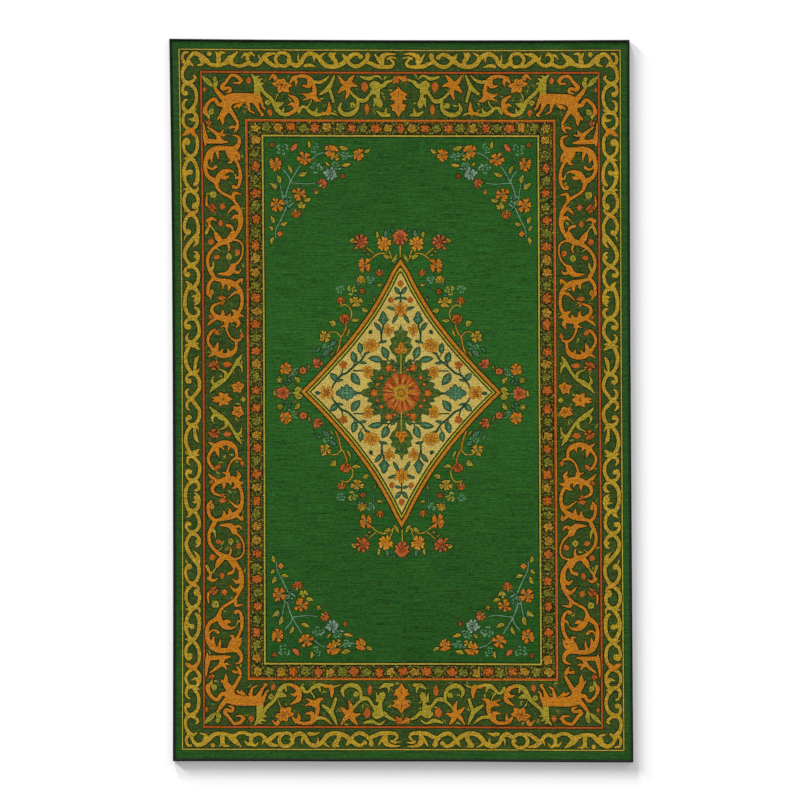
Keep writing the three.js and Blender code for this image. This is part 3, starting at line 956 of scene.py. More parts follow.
# What fills each corner of the wide border: a leaping hind among scrolls,
# depth in from both vermilion lines
cornerHind = {
    # back and chest, haunches, legs
    # the tail, and the leaf-like neck
    # scrolls round it
    "vines": [
        ([(25, 29.6), (32, 26.4), (42, 25.6), (50, 26), (57, 26.6)], [12, 10.4, 9.2, 9.6, 8.6]),
        ([(26, 31), (24.4, 38), (20.8, 43.6), (21.2, 50.4)], [10, 7.4, 5.8, 3]),
        ([(27.4, 36.6), (31, 41.6), (34, 46.8), (36.2, 50.6)], [5.4, 3.6, 3.2, 2.8]),
        ([(46.4, 31), (47.2, 35), (48.6, 38.6), (52.6, 41)], [4.4, 2.8, 2.2, 1.4]),
        ([(54, 29), (56, 34), (58, 38.6), (61.2, 42.6), (58.6, 43.4)], [6.2, 3.6, 2.4, 2.6, 1]),
        ([(57.6, 27), (60.4, 31), (61.2, 34.4), (63.4, 36.6)], [4.6, 2.8, 2, 2.2]),
        ([(27, 30.5), (21.6, 26), (17, 20.8), (13.6, 15.6)], [8.4, 5.2, 4, 2.4]),
        ([(55, 28), (55.8, 22), (55.6, 18)], [8.4, 6.8, 6]),
        ([(55.6, 20), (56.4, 13), (54.8, 7.6), (50.4, 2.2)], [6, 7.6, 5.4, 1.2], "olive"),
        ([(13.6, 8.6), (12.8, 14.6)], [1.8, 1.4], "olive"),
        ([(41.8, 8.6), (37, 4.6), (30.6, 3.4), (28, 5.8), (24.6, 10.6), (21, 14.6), (22.6, 17.2),
         (28, 15.6), (29, 19), (25, 20.8)], [1.2, 3.4, 3, 2.8, 3, 4.2, 3.4, 2.6, 3.2, 1.2]),
        ([(37, 4.8), (39.6, 8), (38, 10.8), (32.2, 11)], [3.4, 3.6, 2.8, 1.2]),
        ([(23, 32.6), (17, 32.4), (14.8, 28.6), (12, 27.4), (7.6, 30.6), (4.6, 35), (3.8, 40), (6, 43.8)],
         [4.8, 3.6, 3.6, 3.4, 3, 3.4, 4.8, 2.4]),
    ],
    "curls": [
        ((57.4, 16.4), (60, 15.6), (62.4, 17), 2.6, "olive"),
        ((58, 13), (60.6, 11.4), (63, 12), 2.8, "olive"), ((57, 9), (59.4, 7.2), (62, 6.8), 2.6, "olive"),
        ((54.6, 5.6), (56.8, 4.2), (59, 4), 2, "olive"), ((33.2, 35), (37, 32.6), (43, 31), 2.6),
        ((40, 32), (37.6, 34), (37.4, 36.6), 3.2), ((13.6, 15), (15.6, 11), (14.6, 4.6), 3.6, "olive"),
        ((6, 43), (7.4, 45.4), (6.6, 48), 3.4, "olive"), ((21, 44), (17.6, 45.4), (16.4, 48), 3),
    ],
    "buds": [
        ((6.4, 9.4), 17.2, 4.8, 224.5, "olive"), ((13.9, 7), 5.4, 4.4, 272, "olive"),
        ((10, 39.6), 7.6, 5.6, 300, "olive"), ((47.6, 8.2), 7.6, 5.6, 270, "ember"),
        ((3.4, 18), 6.6, 4.4, 100, "rust"), ((66.4, 30.4), 6, 6, 90, "olive"),
    ],
    "roundBlooms": [],
    "pointedBlooms": [],
}

borderLook = {
    "line": (197.9, 327.1),     # half the width and length of the vermilion line round it
    "hearts": {"ember": "crimson", "orange": "rust", "olive": "moss", "rust": "orange"},
    # short curls all over the ground: how many, how long and how bent, and the bounds they lie between
    "groundCurls": 420,
    "curlLength": 4.4,
    "curlBend": 1.6,
    "groundTo": (195, 324),
    "groundFrom": (157, 283),
}

# The leafy crown in the middle of each side: its leaves' tips and widths, and what they stand on
sideCrown = {
    "leaves": [
        ((28.6, 0.2), 6.4), ((24.6, 6.4), 5), ((15.4, 7.4), 5.4), ((7.6, 1.4), 4.6), ((24.6, -6), 5),
        ((15.4, -7), 5.4), ((7.8, -2.2), 4.2),
    ],
    "foot": 20.4,
    "heart": (19.6, 0.2),
    "seed": (39.5, 0),
}

# The pointed fleur in the middle of each end: half its outline from tip to foot, its veins,
# and the two leaves over it
centreFleur = {
    "half": [
        (0, 13.4), (2.4, 17), (4.8, 19), (9.4, 21.4), (6.2, 24.2), (8.8, 27), (4.4, 27.6), (3.4, 30),
        (5.4, 31.8), (8.2, 32.2), (6.2, 35), (6.6, 37.6), (3.2, 38.8), (1.6, 42), (0, 44.4),
    ],
    "veins": [
        ((0, 17), (0, 27), 1.6), ((0, 30), (0, 40), 1.5), ((2, 22), (7, 22.4), 1.3),
        ((-2, 22), (-7, 22.4), 1.3),
    ],
    "leaves": [((0.4, 3), (-5.8, 11.8), 4.2, "ember"), ((-0.4, 3.6), (9, 8.8), 3.4, "orange")],
    "shift": -1.6,
}


def drawScrolls(chart):
    level, hearts = levels["border"], borderLook["hearts"]
    rows = []
    for route, widths, ink in withUsual(chart["vines"], "orange"):
        rows += stroke(route, widths, ink, level, 1.0)
    for start, bend, tip, width, ink in withUsual(chart["curls"], "orange"):
        rows += curl(start, bend, tip, width, ink, level, 0.9)
    for place, length, width, turn, ink in chart["buds"]:
        rows += bud(place, length, width, turn, ink, level + 2, 0.5, None if ink == "ember" else hearts[ink])
    for place, radius, petals, ink in chart["roundBlooms"]:
        rows += bloom(place, radius, petals, ink, hearts[ink], 90, level + 2, 0.8)
    for place, radius, petals, ink, turn in chart["pointedBlooms"]:
        rows += bloom(place, radius, petals, ink, hearts[ink], turn, level + 2, 0.8, pointed=True)
    return rows


def drawGroundCurls():
    rng = np.random.default_rng(21)
    wide, long = borderLook["groundTo"]
    innerWide, innerLong = borderLook["groundFrom"]
    half, mostBend = borderLook["curlLength"] / 2, borderLook["curlBend"]
    rows = []
    for number in range(borderLook["groundCurls"]):
        place = np.array([rng.uniform(-wide, wide), rng.uniform(-long, long)])
        if abs(place[0]) < innerWide and abs(place[1]) < innerLong:
            # one that fell in the field goes out to a side instead
            side = rng.integers(4)
            place = [np.array([rng.uniform(innerWide, wide), place[1]]),
                     np.array([-rng.uniform(innerWide, wide), place[1]]),
                     np.array([place[0], rng.uniform(innerLong, long)]),
                     np.array([place[0], -rng.uniform(innerLong, long)])][side]
        way = heading(rng.uniform(0, 360))
        bend = np.array([-way[1], way[0]]) * rng.uniform(-mostBend, mostBend)
        route = [place - way * half, place + bend, place + way * half]
        ink = ("moss", "fern", "olive")[number % 3]
        rows.append((levels["groundCurls"], ribbon(route, [0.7, 1.5, 0.7], 1), ink))
    return rows


def drawBorder():
    wide, long = borderLook["line"]
    left = moved(drawScrolls(sideScrolls), (-1, 1), (wide, 0))
    top = moved(drawScrolls(endScrolls), (1, -1), (0, long))
    corner = moved(drawScrolls(cornerHind), (-1, -1), (wide, long))
    rows = drawGroundCurls() + fourCorners(left + top + corner, wanders["border"])
    for side in (-1, 1):
        rows += moved(drawCrown(), (side * -1, 1), (side * wide, 0.2))
        rows += moved(drawFleur(), (1, -side), (centreFleur["shift"], side * long))
    return rows


def drawCrown():
    level = levels["border"] + 2
    rows = []
    for tip, width in sideCrown["leaves"]:
        foot = (sideCrown["foot"] - (tip[0] - 19) * 0.12, 0)
        rows += leaf(foot, tip, width, "orange", level, 0.8)
    rows.append((level + 4, disc(sideCrown["heart"], 3.4, 9), "orange"))
    rows.append((level + 5, disc(sideCrown["heart"], 1.6, 6), "rust"))
    return rows + knot(sideCrown["seed"], 2.8, 4, "olive", level, 0.7)


def drawFleur():
    level = levels["border"] + 2
    half = np.array(centreFleur["half"], float)
    rows = inked(np.vstack([half * (-1, 1), half[-2:0:-1]]), "orange", level, 1.0)
    for start, tip, width in centreFleur["veins"]:
        rows.append((level + 2, fleck(start, tip, width), "rust"))
    for base, tip, width, ink in centreFleur["leaves"]:
        rows += leaf(base, tip, width, ink, level, 0.8)
    return rows


# The ends' running scroll: left from the middle, then depth in from the gold line
endGuard = {
    "weight": 0.92,
    "vines": [
        ([(211, 11.4), (207.6, 6.4), (203.4, 4), (198, 6.2), (193, 10.4), (187.6, 15), (179, 15.8),
         (174.2, 13.8), (168.6, 12.4), (164, 15.4), (158.4, 16.4), (152.6, 14.2), (149, 13.6),
         (144.4, 15.4), (139.6, 13.4), (136, 8.4), (131.4, 4.8), (124, 3.4)],
         [3, 4, 4.6, 5, 5.4, 4.6, 3.8, 4.4, 5.4, 3.6, 3.8, 4.2, 4.6, 3.8, 4, 5, 5, 1.6]),
        ([(134, 9), (130, 12.6), (124.4, 16), (117, 16.6)], [5, 4.6, 3.8, 1.6]),
        ([(109.6, 6.8), (109.8, 12.6), (114.6, 16.2), (120.6, 14.6), (123.6, 9), (120.6, 4), (115.4, 2.8),
         (110.6, 5.4), (109.4, 9)], [3.8, 4, 3.8, 3.6, 3.8, 4, 3.8, 3.8, 3.8]),
        ([(111.6, 9.6), (107.4, 13.6), (102.8, 15.6), (98, 12.8), (95.2, 7), (90.4, 3.6), (84.4, 4.4),
         (80, 8), (76.4, 13), (71.4, 16), (64.4, 16.4), (58, 14), (52.4, 9.4), (47.4, 5), (42.4, 3.6),
         (38.4, 6.6)], [3, 4.4, 5.2, 4.4, 4.4, 4.8, 4.6, 4.8, 5, 4.8, 4.8, 4.8, 5, 4.6, 3.8, 3.4]),
        ([(52.4, 10), (49, 14), (44.4, 16.2), (39.2, 15), (35.6, 12), (32.4, 8.4), (31.6, 4.6)],
         [4, 3.8, 4.4, 4.4, 4, 4, 6.2]),
        ([(34.4, 11.4), (29, 12.8), (23.6, 15.6), (15.6, 16.6), (8.4, 16), (6.2, 12.6), (9.4, 8.8)],
         [3.6, 4.2, 4.4, 4.6, 3.8, 3, 2]), ([(24.8, 3.4), (21, 9.6), (17, 14)], [1.4, 3.8, 4.2]),
        ([(17.6, 13), (17.4, 6.6), (12, 3.8), (3.6, 3.6)], [4.8, 6.2, 3.4, 1.2]),
    ],
    "curls": [
        ((197.4, 8.6), (196, 14), (201.6, 16.2), 4.6), ((180.4, 15), (180, 8.6), (182.6, 2.6), 5.4),
        ((180.4, 8), (178, 3.4), (173, 3.4), 4.4), ((171.4, 12.6), (167.6, 8), (161, 2.4), 7.4),
        ((150, 13.4), (151.4, 8), (149.6, 3.2), 4.6), ((150.4, 5.6), (154, 4.6), (157.6, 8.4), 4.4),
        ((150.4, 4.6), (147.4, 3.4), (144, 6.6), 3.8), ((137.4, 9.4), (139.4, 8), (140.4, 4.4), 2.6),
        ((97.4, 12), (100.6, 9.6), (100.8, 3.8), 3.4), ((85.6, 5), (85, 8), (85.4, 12), 3),
        ((80, 8.2), (77.6, 5), (72.8, 2.4), 3.4), ((63.4, 15.4), (64.4, 10), (69, 4), 5.2),
        ((66, 9), (66.4, 5), (63.4, 2.6), 5.4), ((53, 9), (54.6, 6.6), (56.8, 3.6), 5),
        ((12, 8.4), (8, 7), (2.4, 8), 2.8), ((94, 15.6), (89, 15), (83, 17), 4.2),
    ],
    "bulbs": [(189.2, 4.2, 2.6), (68, 4.8, 3), (38.6, 6.4, 2.6)],
    "joints": [],
}

# The sides' running scroll: up from the middle, then depth in from the gold line
sideGuard = {
    "weight": 0.87,
    "vines": [
        ([(346.2, 8.8), (345.6, 5), (341, 3.2), (336.6, 4.8), (335, 8)], [2.4, 3, 3.4, 3.8, 3.6]),
        ([(338, 10.4), (335.6, 8), (331.4, 4.6), (324.8, 3), (318.8, 3.8), (315.8, 7.4), (313, 12.6),
         (309, 15.6), (303, 16.8), (296, 15.8), (290.4, 12.6), (286.8, 9.4)],
         [3, 4, 4, 3.6, 4, 4.8, 4.6, 4, 3.8, 3.8, 4.4, 4.6]),
        ([(333, 13.8), (335, 11), (333.6, 7.4), (330, 4.6)], [2.4, 3.6, 4, 3.6]),
        ([(316, 9), (317.6, 13.2), (321, 15.8), (323.6, 14)], [4, 3.8, 3.4, 1.8]),
        ([(315.4, 8), (313.4, 4.4), (308.4, 3), (304.8, 4.6), (305.2, 7)], [4.4, 3.8, 3.4, 4, 3.6]),
        ([(287, 8.4), (288.6, 4.8), (293.4, 3.2), (297.8, 4.8), (299.2, 7.6)], [4.4, 4.2, 3.6, 3, 1.6]),
        ([(287, 9.4), (286, 5.8), (281.6, 3.2), (275.6, 3.2), (271.4, 6), (269, 10)],
         [4.2, 3.6, 3.4, 3.6, 3.8, 4.4]),
        ([(287.4, 9.8), (286.4, 13.8), (282.4, 16.4), (275.6, 16.9), (270.8, 14), (268.6, 10.4)],
         [4, 3.6, 4, 4, 4, 4.6]),
        ([(266.6, 12.6), (264.2, 15), (258.6, 16.9), (252, 16.9), (246, 15), (242.6, 11.4), (240.4, 8.4)],
         [4, 4, 3.8, 3.8, 4, 4.4, 4.4]),
        ([(242.6, 9.4), (246.4, 5), (252, 3.1), (257.4, 3.8), (259.2, 6.4), (257.6, 8.6)],
         [4.2, 4, 3.6, 3.6, 4, 3.4]),
        ([(241, 10.6), (237.4, 6.6), (230.4, 3.6), (222.4, 3.3), (215, 5.6), (209.6, 9.6), (207.6, 13.4),
         (209.2, 16.6), (213, 16.8)], [4.6, 4.2, 4.2, 4.2, 4, 4.2, 4, 3.2, 1.6]),
        ([(241, 9.4), (238.2, 13), (231.6, 16.2), (223, 16.9), (216.6, 15.8), (214, 13)],
         [4.2, 4.4, 4, 4.2, 5, 3.4]),
        ([(208.4, 9.6), (206.4, 6), (201, 3.3), (193.6, 3.4), (188.2, 6.8), (185.2, 11), (187.4, 15.2),
         (190.4, 17)], [4.6, 4, 3.8, 4, 4.4, 4.6, 3.8, 1.6]),
        ([(208, 10.4), (204.8, 14.8), (199.6, 16.9), (193.8, 16), (191.2, 13.4), (193.2, 11.4)],
         [4.4, 4, 4, 4.2, 4.2, 2.4]),
        ([(184.6, 10.4), (180.8, 14.4), (174, 16.9), (166, 16.4), (161.4, 12.8), (156.4, 8.6), (151.4, 5),
         (145.4, 3.2), (139.8, 4.4), (135.4, 7.6), (133.4, 10.6)], [4.6, 4, 3.8, 4.4, 4.8, 4.6, 4.6, 4.2, 4,
         4.2, 4.6]),
        ([(184.8, 10.4), (181.4, 5.8), (174.6, 3.2), (168.4, 3.8), (165.4, 6.6), (167.6, 9)],
         [4.6, 4, 3.6, 3.8, 4.2, 2.8]),
        ([(134.6, 10.4), (136.4, 14.4), (141.4, 16.8), (146.2, 15.2), (147.4, 12.4)],
         [4.4, 4, 3.8, 3.6, 1.6]),
        ([(133, 10), (130.4, 14.2), (125, 16.9), (118.6, 16.4), (114, 14.2), (110.8, 11.4)],
         [4.6, 4, 3.8, 4, 4.4, 4.6]),
        ([(132.4, 9.4), (131.4, 5.6), (127.4, 3.3), (123.6, 4.8), (124, 7.6)], [4.2, 3.8, 3.6, 4, 3.2]),
        ([(113.4, 9), (109.4, 5.8), (101.4, 3.3), (92, 3.2), (85.4, 5.8), (81.8, 10.4)],
         [4.8, 4.4, 4.2, 4.2, 4.4, 4.8]),
        ([(110.8, 11.4), (108.6, 15.2), (102.6, 17), (97, 16), (93.8, 12.6)], [4.4, 4.2, 4.2, 4.2, 1.6]),
        ([(81.8, 10.8), (82.8, 14.8), (87.4, 16.9), (90.8, 14.6), (91, 12.2)], [4.6, 4.2, 4, 4, 1.6]),
        ([(81, 10.4), (78.4, 14.4), (71.8, 17), (64.8, 16.8), (60.2, 13.8), (56.8, 10)],
         [4.6, 4.2, 4, 4, 4.2, 4.6]),
        ([(80.8, 9.6), (79.4, 5.8), (75.4, 3.5), (71.2, 5), (71.6, 8)], [4.4, 3.8, 3.6, 4, 3.4]),
        ([(57, 8.6), (58.6, 5.6), (62.6, 4.6), (65.6, 6.8)], [4, 3.6, 3.2, 1.4]),
        ([(56.4, 9.6), (50.4, 5.8), (43, 3.5), (35, 4.3), (28.8, 7.4), (25.6, 10.6)],
         [4.8, 4.4, 4.2, 4.2, 4.4, 4.6]),
        ([(26, 12.4), (33.4, 13), (39.4, 14.2), (43, 16.6)], [2.8, 3.6, 4.6, 1.4]),
        ([(25.6, 10.2), (23.4, 14.6), (17, 17.2), (10.4, 17), (5.4, 13.4), (0, 9)],
         [4.6, 4.2, 4, 4, 4.4, 4.4]),
        ([(25.4, 9.4), (24.2, 5.9), (20.8, 4.2), (17.2, 5.6), (17.6, 8.4)], [4.2, 3.6, 3.4, 3.8, 3.2]),
        ([(0.4, 8), (3.4, 4.8), (8, 4.2), (10.6, 6.8)], [4.2, 3.6, 3.6, 2]),
    ],
    "curls": [
        ((281.8, 16), (279, 13.4), (280, 8.8), 5), ((241.4, 9), (240.4, 5.4), (239.8, 2.4), 3.6),
        ((224.4, 4), (226.4, 7), (227, 11.6), 5.8), ((209, 7.4), (209.8, 4.8), (209.4, 2.2), 3.2),
        ((163, 15.8), (156.6, 15.4), (152, 11.6), 5.4), ((110.6, 8.6), (114.6, 7.6), (118, 4.4), 5.4),
        ((100.8, 16.2), (102.6, 13.6), (102.6, 10), 4.8), ((55.8, 9), (53.4, 13), (49.8, 17), 6.8),
        ((54, 12), (55.8, 14.8), (55, 17), 3.2), ((25.8, 12), (28, 15.6), (31, 16.8), 3.4),
        ((186, 8), (188.6, 5), (187, 2.6), 2.6), ((289.8, 12), (288.8, 15), (290.6, 17), 2.8),
        ((54.8, 6.6), (54, 4), (51.6, 2.8), 2.4), ((163.4, 4.6), (160.8, 3.4), (158.4, 2.8), 1.8),
    ],
    "bulbs": [
        (305.4, 5.8, 2.9), (256.6, 7, 3.4), (193.8, 14, 3), (167.2, 7.2, 2.7), (124.4, 6.4, 2.7),
        (72.2, 6.8, 2.9), (18, 7.2, 2.7), (226.8, 9.4, 3), (98.6, 13.6, 2.2), (142.6, 14.6, 2.2),
    ],
    # strokes in another ink
    "joints": [
        ([(269.6, 13.6), (268, 9.6), (265.6, 6), (263.8, 3)], [3.6, 5, 4.4, 1.8], "orange"),
        ([(268.6, 9), (266.2, 12.6), (263.2, 15.2)], [4.4, 4.2, 3.4], "orange"),
        ([(187, 13.8), (184.8, 10.4), (182.6, 7)], [3, 4.4, 3], "saffron"),
    ],
}


guardLook = {
    "redFrom": 4.3,         # a scroll wider than this is redder in its middle
    "bulbSize": 0.94,       # a bulb's share of its size in the chart
}


def drawOuterGuard():
    wide, long = printFit["goldLine"]
    ends = moved(drawGuard(endGuard), (1, -1), (0, long))
    sides = [(level, outline[:, ::-1], ink) for level, outline, ink in drawGuard(sideGuard)]
    return fourCorners(ends + moved(sides, (-1, 1), (wide, 0)), wanders["outerGuard"])


def drawGuard(chart):
    level = levels["outerGuard"]
    rows = []
    for route, widths in chart["vines"]:
        widths = np.array(widths) * chart["weight"]
        rows += stroke(route, widths, "gold", level, 0.9)
        redder = np.maximum(widths - guardLook["redFrom"], 0.1)
        rows.append((level + 1.5, ribbon(route, redder, 3), "saffron"))
    for start, bend, tip, width in chart["curls"]:
        rows += curl(start, bend, tip, width * chart["weight"], "gold", level, 0.7)
    for along, depth, radius in chart["bulbs"]:
        rows += inked(disc((along, depth), radius * guardLook["bulbSize"], 9), "gold", level, 0.6)
    for route, widths, ink in chart["joints"]:
        rows += stroke(route, widths, ink, level + 2, 0.3)
    return rows


# The narrow guard of small crowded flowers round the field
innerGuard = {
    "middle": (145, 272),   # half the width and length of the line that its flowers stand on
    # the flowers' spacing, and their order from a corner to the middle, along the sides and the ends
    "sides": (
        13.15,
        ["gold", "amber", "olive", "red", "olive", "red", "olive", "red", "olive", "red", "gold", "amber",
         "olive", "red", "gold", "red", "olive", "red", "gold", "olive", "red"],
    ),
    "ends": (
        12.08,
        ["gold", "olive", "amber", "red", "olive", "red", "gold", "olive", "red", "olive", "red", "gold",
         "red"],
    ),
    # a flower's own ink, then the flecks over it: ink, how many, how far out in shares of its size, width
    "kinds": {
        "red": ("ember", [("crimson", 7, 0.8, 1.6), ("night", 6, 1, 1.3), ("orange", 3, 0.6, 1.3)]),
        "gold": ("amber", [("night", 10, 1, 1.3), ("straw", 10, 0.9, 1.4), ("rust", 3, 0.4, 1.3)]),
        "amber": ("amber", [("night", 10, 1, 1.3), ("saffron", 10, 0.9, 1.4), ("ember", 3, 0.4, 1.3)]),
        "olive": ("moss", [("olive", 8, 0.9, 1.5), ("night", 8, 0.8, 1.2)]),
    },
    "flowerSizes": (4.6, 5.4),
    "squash": (0.86, 1.16),
    "leaflets": 4,          # in each gap, and how far they stray across the guard
    "leafletStray": 4.6,
    "seeds": 8,             # in each gap along both rims, and how far out they lie
    "seedDepths": (4.8, 5.8),
}


def drawInnerGuard():
    rng = np.random.default_rng(5)
    rows = []
    for name, way in (("sides", (0, 1)), ("ends", (1, 0))):
        pitch, order = innerGuard[name]
        for right, up in ((-1, -1), (-1, 1), (1, -1), (1, 1)):
            corner = np.array(innerGuard["middle"]) * (right, up)
            step = -np.array((right, up)) * way
            for number, kind in enumerate(order):
                # the sides' runs draw the corners, and the left ends' runs the flower in the middle
                if name == "ends" and (number == 0 or number == len(order) - 1 and right > 0):
                    continue
                spot = corner + step * pitch * number
                rows += guardFlower(spot + rng.uniform(-0.8, 0.8, 2), kind, rng)
                rows += guardFilling(spot, step, pitch, rng)
    return rows


def guardFlower(place, kind, rng):
    # a little crowded flower in a dark ring: a ragged patch with seeds of other inks over it
    level = levels["innerGuard"]
    ink, flecks = innerGuard["kinds"][kind]
    size = rng.uniform(*innerGuard["flowerSizes"])
    turn = rng.uniform(0, 90)
    rows = knot((0, 0), size, int(rng.integers(4, 7)), ink, level + 1, 1.0, turn, 0.34)
    for ink, count, reach, width in flecks:
        for number in range(count):
            way = heading(turn + 360 * number / count + rng.uniform(-20, 20))
            spot = way * size * reach * rng.uniform(0.5, 1)
            rows.append((level + 3, fleck(spot, spot + rng.uniform(-2.0, 2.0, 2), width), ink))
    squash = rng.uniform(*innerGuard["squash"])
    return moved(rows, (squash, 1 / squash), place)


def guardFilling(spot, step, pitch, rng):
    # leaflets in the gap after a flower, and seeds along both rims
    level = levels["innerGuard"]
    across, stray = step[::-1], innerGuard["leafletStray"]
    rows = []
    for number in range(innerGuard["leaflets"]):
        start = spot + step * (pitch / 2 + rng.uniform(-1, 1))
        start = start + across * rng.uniform(-stray, stray)
        ink = ("olive", "moss")[number % 2]
        rows.append((level, fleck(start, start + rng.uniform(-2.4, 2.4, 2), 1.3), ink))
    for number in range(innerGuard["seeds"]):
        side = 1 if number % 2 else -1
        start = spot + step * pitch * (number / innerGuard["seeds"] + rng.uniform(-0.08, 0.08))
        start = start + across * side * rng.uniform(*innerGuard["seedDepths"])
        ink = ("olive", "moss", "straw")[number % 3]
        rows.append((level, fleck(start, start + rng.uniform(-1.8, 1.8, 2), 1.2), ink))
    return rows


def drawPrint():
    return drawBands() + drawField() + drawMedallion() + drawOuterGuard() + drawBorder() + drawInnerGuard()


# From the chart to the rug: the print follows the rug's uneven sides
printFit = {
    "unit": 3.3297,             # millimetres
    "goldLine": (219.2, 349.4),     # half its width and length, in units
    "marginLeft": 32.3, "marginRight": 31.5, "marginBottom": 40.0, "marginTop": 34.8,
    "rounds": 3,                # each brings a place nearer to its share of the way between the sides
    "spare": 0.16,              # a point that bends its outline by less than this is left out, in millimetres
    "spareRounds": 3,
}


def layOnRug(places):
    # places in the chart as places on the rug
    across = (places[:, 0] / printFit["goldLine"][0] + 1) / 2
    up = (places[:, 1] / printFit["goldLine"][1] + 1) / 2
    x, y = places[:, 0] * printFit["unit"], places[:, 1] * printFit["unit"]
    for _ in range(printFit["rounds"]):
        left, right, bottom, top = sidesAt(x, y)
        left, right = left + printFit["marginLeft"], right - printFit["marginRight"]
        bottom, top = bottom + printFit["marginBottom"], top - printFit["marginTop"]
        x = left + (right - left) * across
        y = bottom + (top - bottom) * up
    return np.column_stack([x, y])


def withoutSpares(outline):
    # the outline without the points that hardly bend it
    for _ in range(printFit["spareRounds"]):
        before, after = np.roll(outline, 1, axis=0), np.roll(outline, -1, axis=0)
        chord, reach = after - before, outline - before
        length = np.maximum(np.linalg.norm(chord, axis=1), 1e-9)
        off = np.abs(chord[:, 0] * reach[:, 1] - chord[:, 1] * reach[:, 0]) / length
        spare = off < printFit["spare"]
        spare[1::2] = False
        if len(outline) - spare.sum() < 4 or not spare.any():
            break
        outline = np.roll(outline[~spare], 1, axis=0)
    return outline


def windingAt(places, outline):
    # how many times an outline goes round each place
    x, y = places[:, 0][:, None], places[:, 1][:, None]
    ax, ay = outline[:, 0], outline[:, 1]
    bx, by = np.roll(ax, -1), np.roll(ay, -1)
    leftOf = (bx - ax) * (y - ay) - (x - ax) * (by - ay)
    rising = (ay <= y) & (by > y) & (leftOf > 0)
    falling = (ay > y) & (by <= y) & (leftOf < 0)
    return rising.sum(axis=1) - falling.sum(axis=1)


def inkFaces(middles, areas):
    # the ink of the highest printed area over each face's middle
    names = list(inks)
    chosen = np.full(len(middles), names.index("margin"))
    order = np.argsort(middles[:, 0], kind="stable")
    sortedX = middles[order, 0]
    for outline, ink in areas:
        low, high = outline.min(axis=0), outline.max(axis=0)
        near = order[np.searchsorted(sortedX, low[0]):np.searchsorted(sortedX, high[0])]
        near = near[(middles[near, 1] >= low[1]) & (middles[near, 1] <= high[1])]
        if len(near):
            inside = windingAt(middles[near], outline) != 0
            chosen[near[inside]] = names.index(ink)
    return chosen


def linear(colour):
    # sRGB, 0 to 255, as the light that it stands for
    share = np.asarray(colour, float) / 255
    return np.where(share <= 0.04045, share / 12.92, ((share + 0.055) / 1.055) ** 2.4)


# The cloth, in millimetres; depths are how far in from its side
cloth = {
    "thickness": 3.2,
    "rimDepth": 1.6,            # the rim, hidden in the yarn
    "pressedTo": 7.6,           # the yarn squeezes the pile this far in
    "risingAt": 8.6,
    "fullFrom": 9.6,
    "flatFrom": (9.9, 10.6),
    "pressedTop": 2.45,
    "pressedBottom": 1.3,
    "backFrom": 8.7,
    "gridSpacing": 48.0,
    "gridFrom": 24,
    "straight": 0.2,            # a point that bends the line between two inks by less than this is left out
    "straightRounds": 2,
    "atOnce": 20000,            # how many places are looked up in one go
    "backColour": (196, 190, 176, 0.0),
    # the green field's share of its full colour, and where: mm up from the rug's middle
    "fieldFade": [(-840, 0.87), (-600, 0.905), (-360, 0.928), (-120, 0.98), (120, 0.99), (480, 0.965),
                  (840, 0.92)],
    "fadePower": 2.2,           # from a share of the colour as seen to a share of its light
    # shares of the unwrapped sheet: the size of the printed top and where its middle is, then the back's
    "topSheet": (0.96, (0.32, 0.5)),
    "backSheet": (0.4, (0.82, 0.3)),
}


def triangulated(points, edges, outer):
    # triangles that keep every edge, none of them outside the outer loop
    corners = [Vector(place) for place in points.tolist()]
    places, _, faces, sources, _, _ = delaunay_2d_cdt(corners, edges, [], 0, 1e-3)
    places = np.array([tuple(place) for place in places])
    faces = np.array(faces)
    faces = faces[isInside(places[faces].mean(axis=1), outer)]
    where = {source: spot for spot, row in enumerate(sources) for source in row}
    return places, faces, where


def joined(loops):
    # all the loops' points in one list, and the edges between neighbours
    edges = []
    first = 0
    for loop in loops:
        count = len(loop)
        if count > 2:
            edges += [(first + spot, first + (spot + 1) % count) for spot in range(count)]
        first += count
    return np.vstack(loops), edges


def inkLines(places, faces, chosen):
    # the edges that part two inks, with the places they use
    ends = np.sort(np.vstack([faces[:, [0, 1]], faces[:, [1, 2]], faces[:, [2, 0]]]), axis=1)
    owner = np.tile(chosen, 3)
    order = np.lexsort((ends[:, 1], ends[:, 0]))
    ends, owner = ends[order], owner[order]
    same = (ends[1:] == ends[:-1]).all(axis=1)
    parting = ends[1:][same & (owner[1:] != owner[:-1])]
    used, rows = np.unique(parting, return_inverse=True)
    return places[used], rows.reshape(-1, 2)


def straightened(places, edges):
    # the lines without the points that hardly bend them
    meeting = [[] for _ in places]
    for start, end in edges.tolist():
        meeting[start].append(end)
        meeting[end].append(start)
    spots = places.tolist()
    dropped = np.zeros(len(places), bool)
    for _ in range(cloth["straightRounds"]):
        held = set()
        for spot, ends in enumerate(meeting):
            if len(ends) != 2 or spot in held or ends[0] == ends[1] or ends[1] in meeting[ends[0]]:
                continue
            (ax, ay), (bx, by), (x, y) = spots[ends[0]], spots[ends[1]], spots[spot]
            length = math.hypot(bx - ax, by - ay)
            if abs((bx - ax) * (y - ay) - (by - ay) * (x - ax)) < cloth["straight"] * length:
                for end, other in (ends, ends[::-1]):
                    meeting[end][meeting[end].index(spot)] = other
                held.update(ends)
                meeting[spot] = []
                dropped[spot] = True
    number = np.cumsum(~dropped) - 1
    pairs = {(min(spot, end), max(spot, end)) for spot, ends in enumerate(meeting) for end in ends}
    return places[~dropped], number[np.array(sorted(pairs))]


def isInside(places, outline):
    # which places lie inside the outline
    parts = [places[start:start + cloth["atOnce"]] for start in range(0, len(places), cloth["atOnce"])]
    return np.concatenate([windingAt(part, outline) != 0 for part in parts])


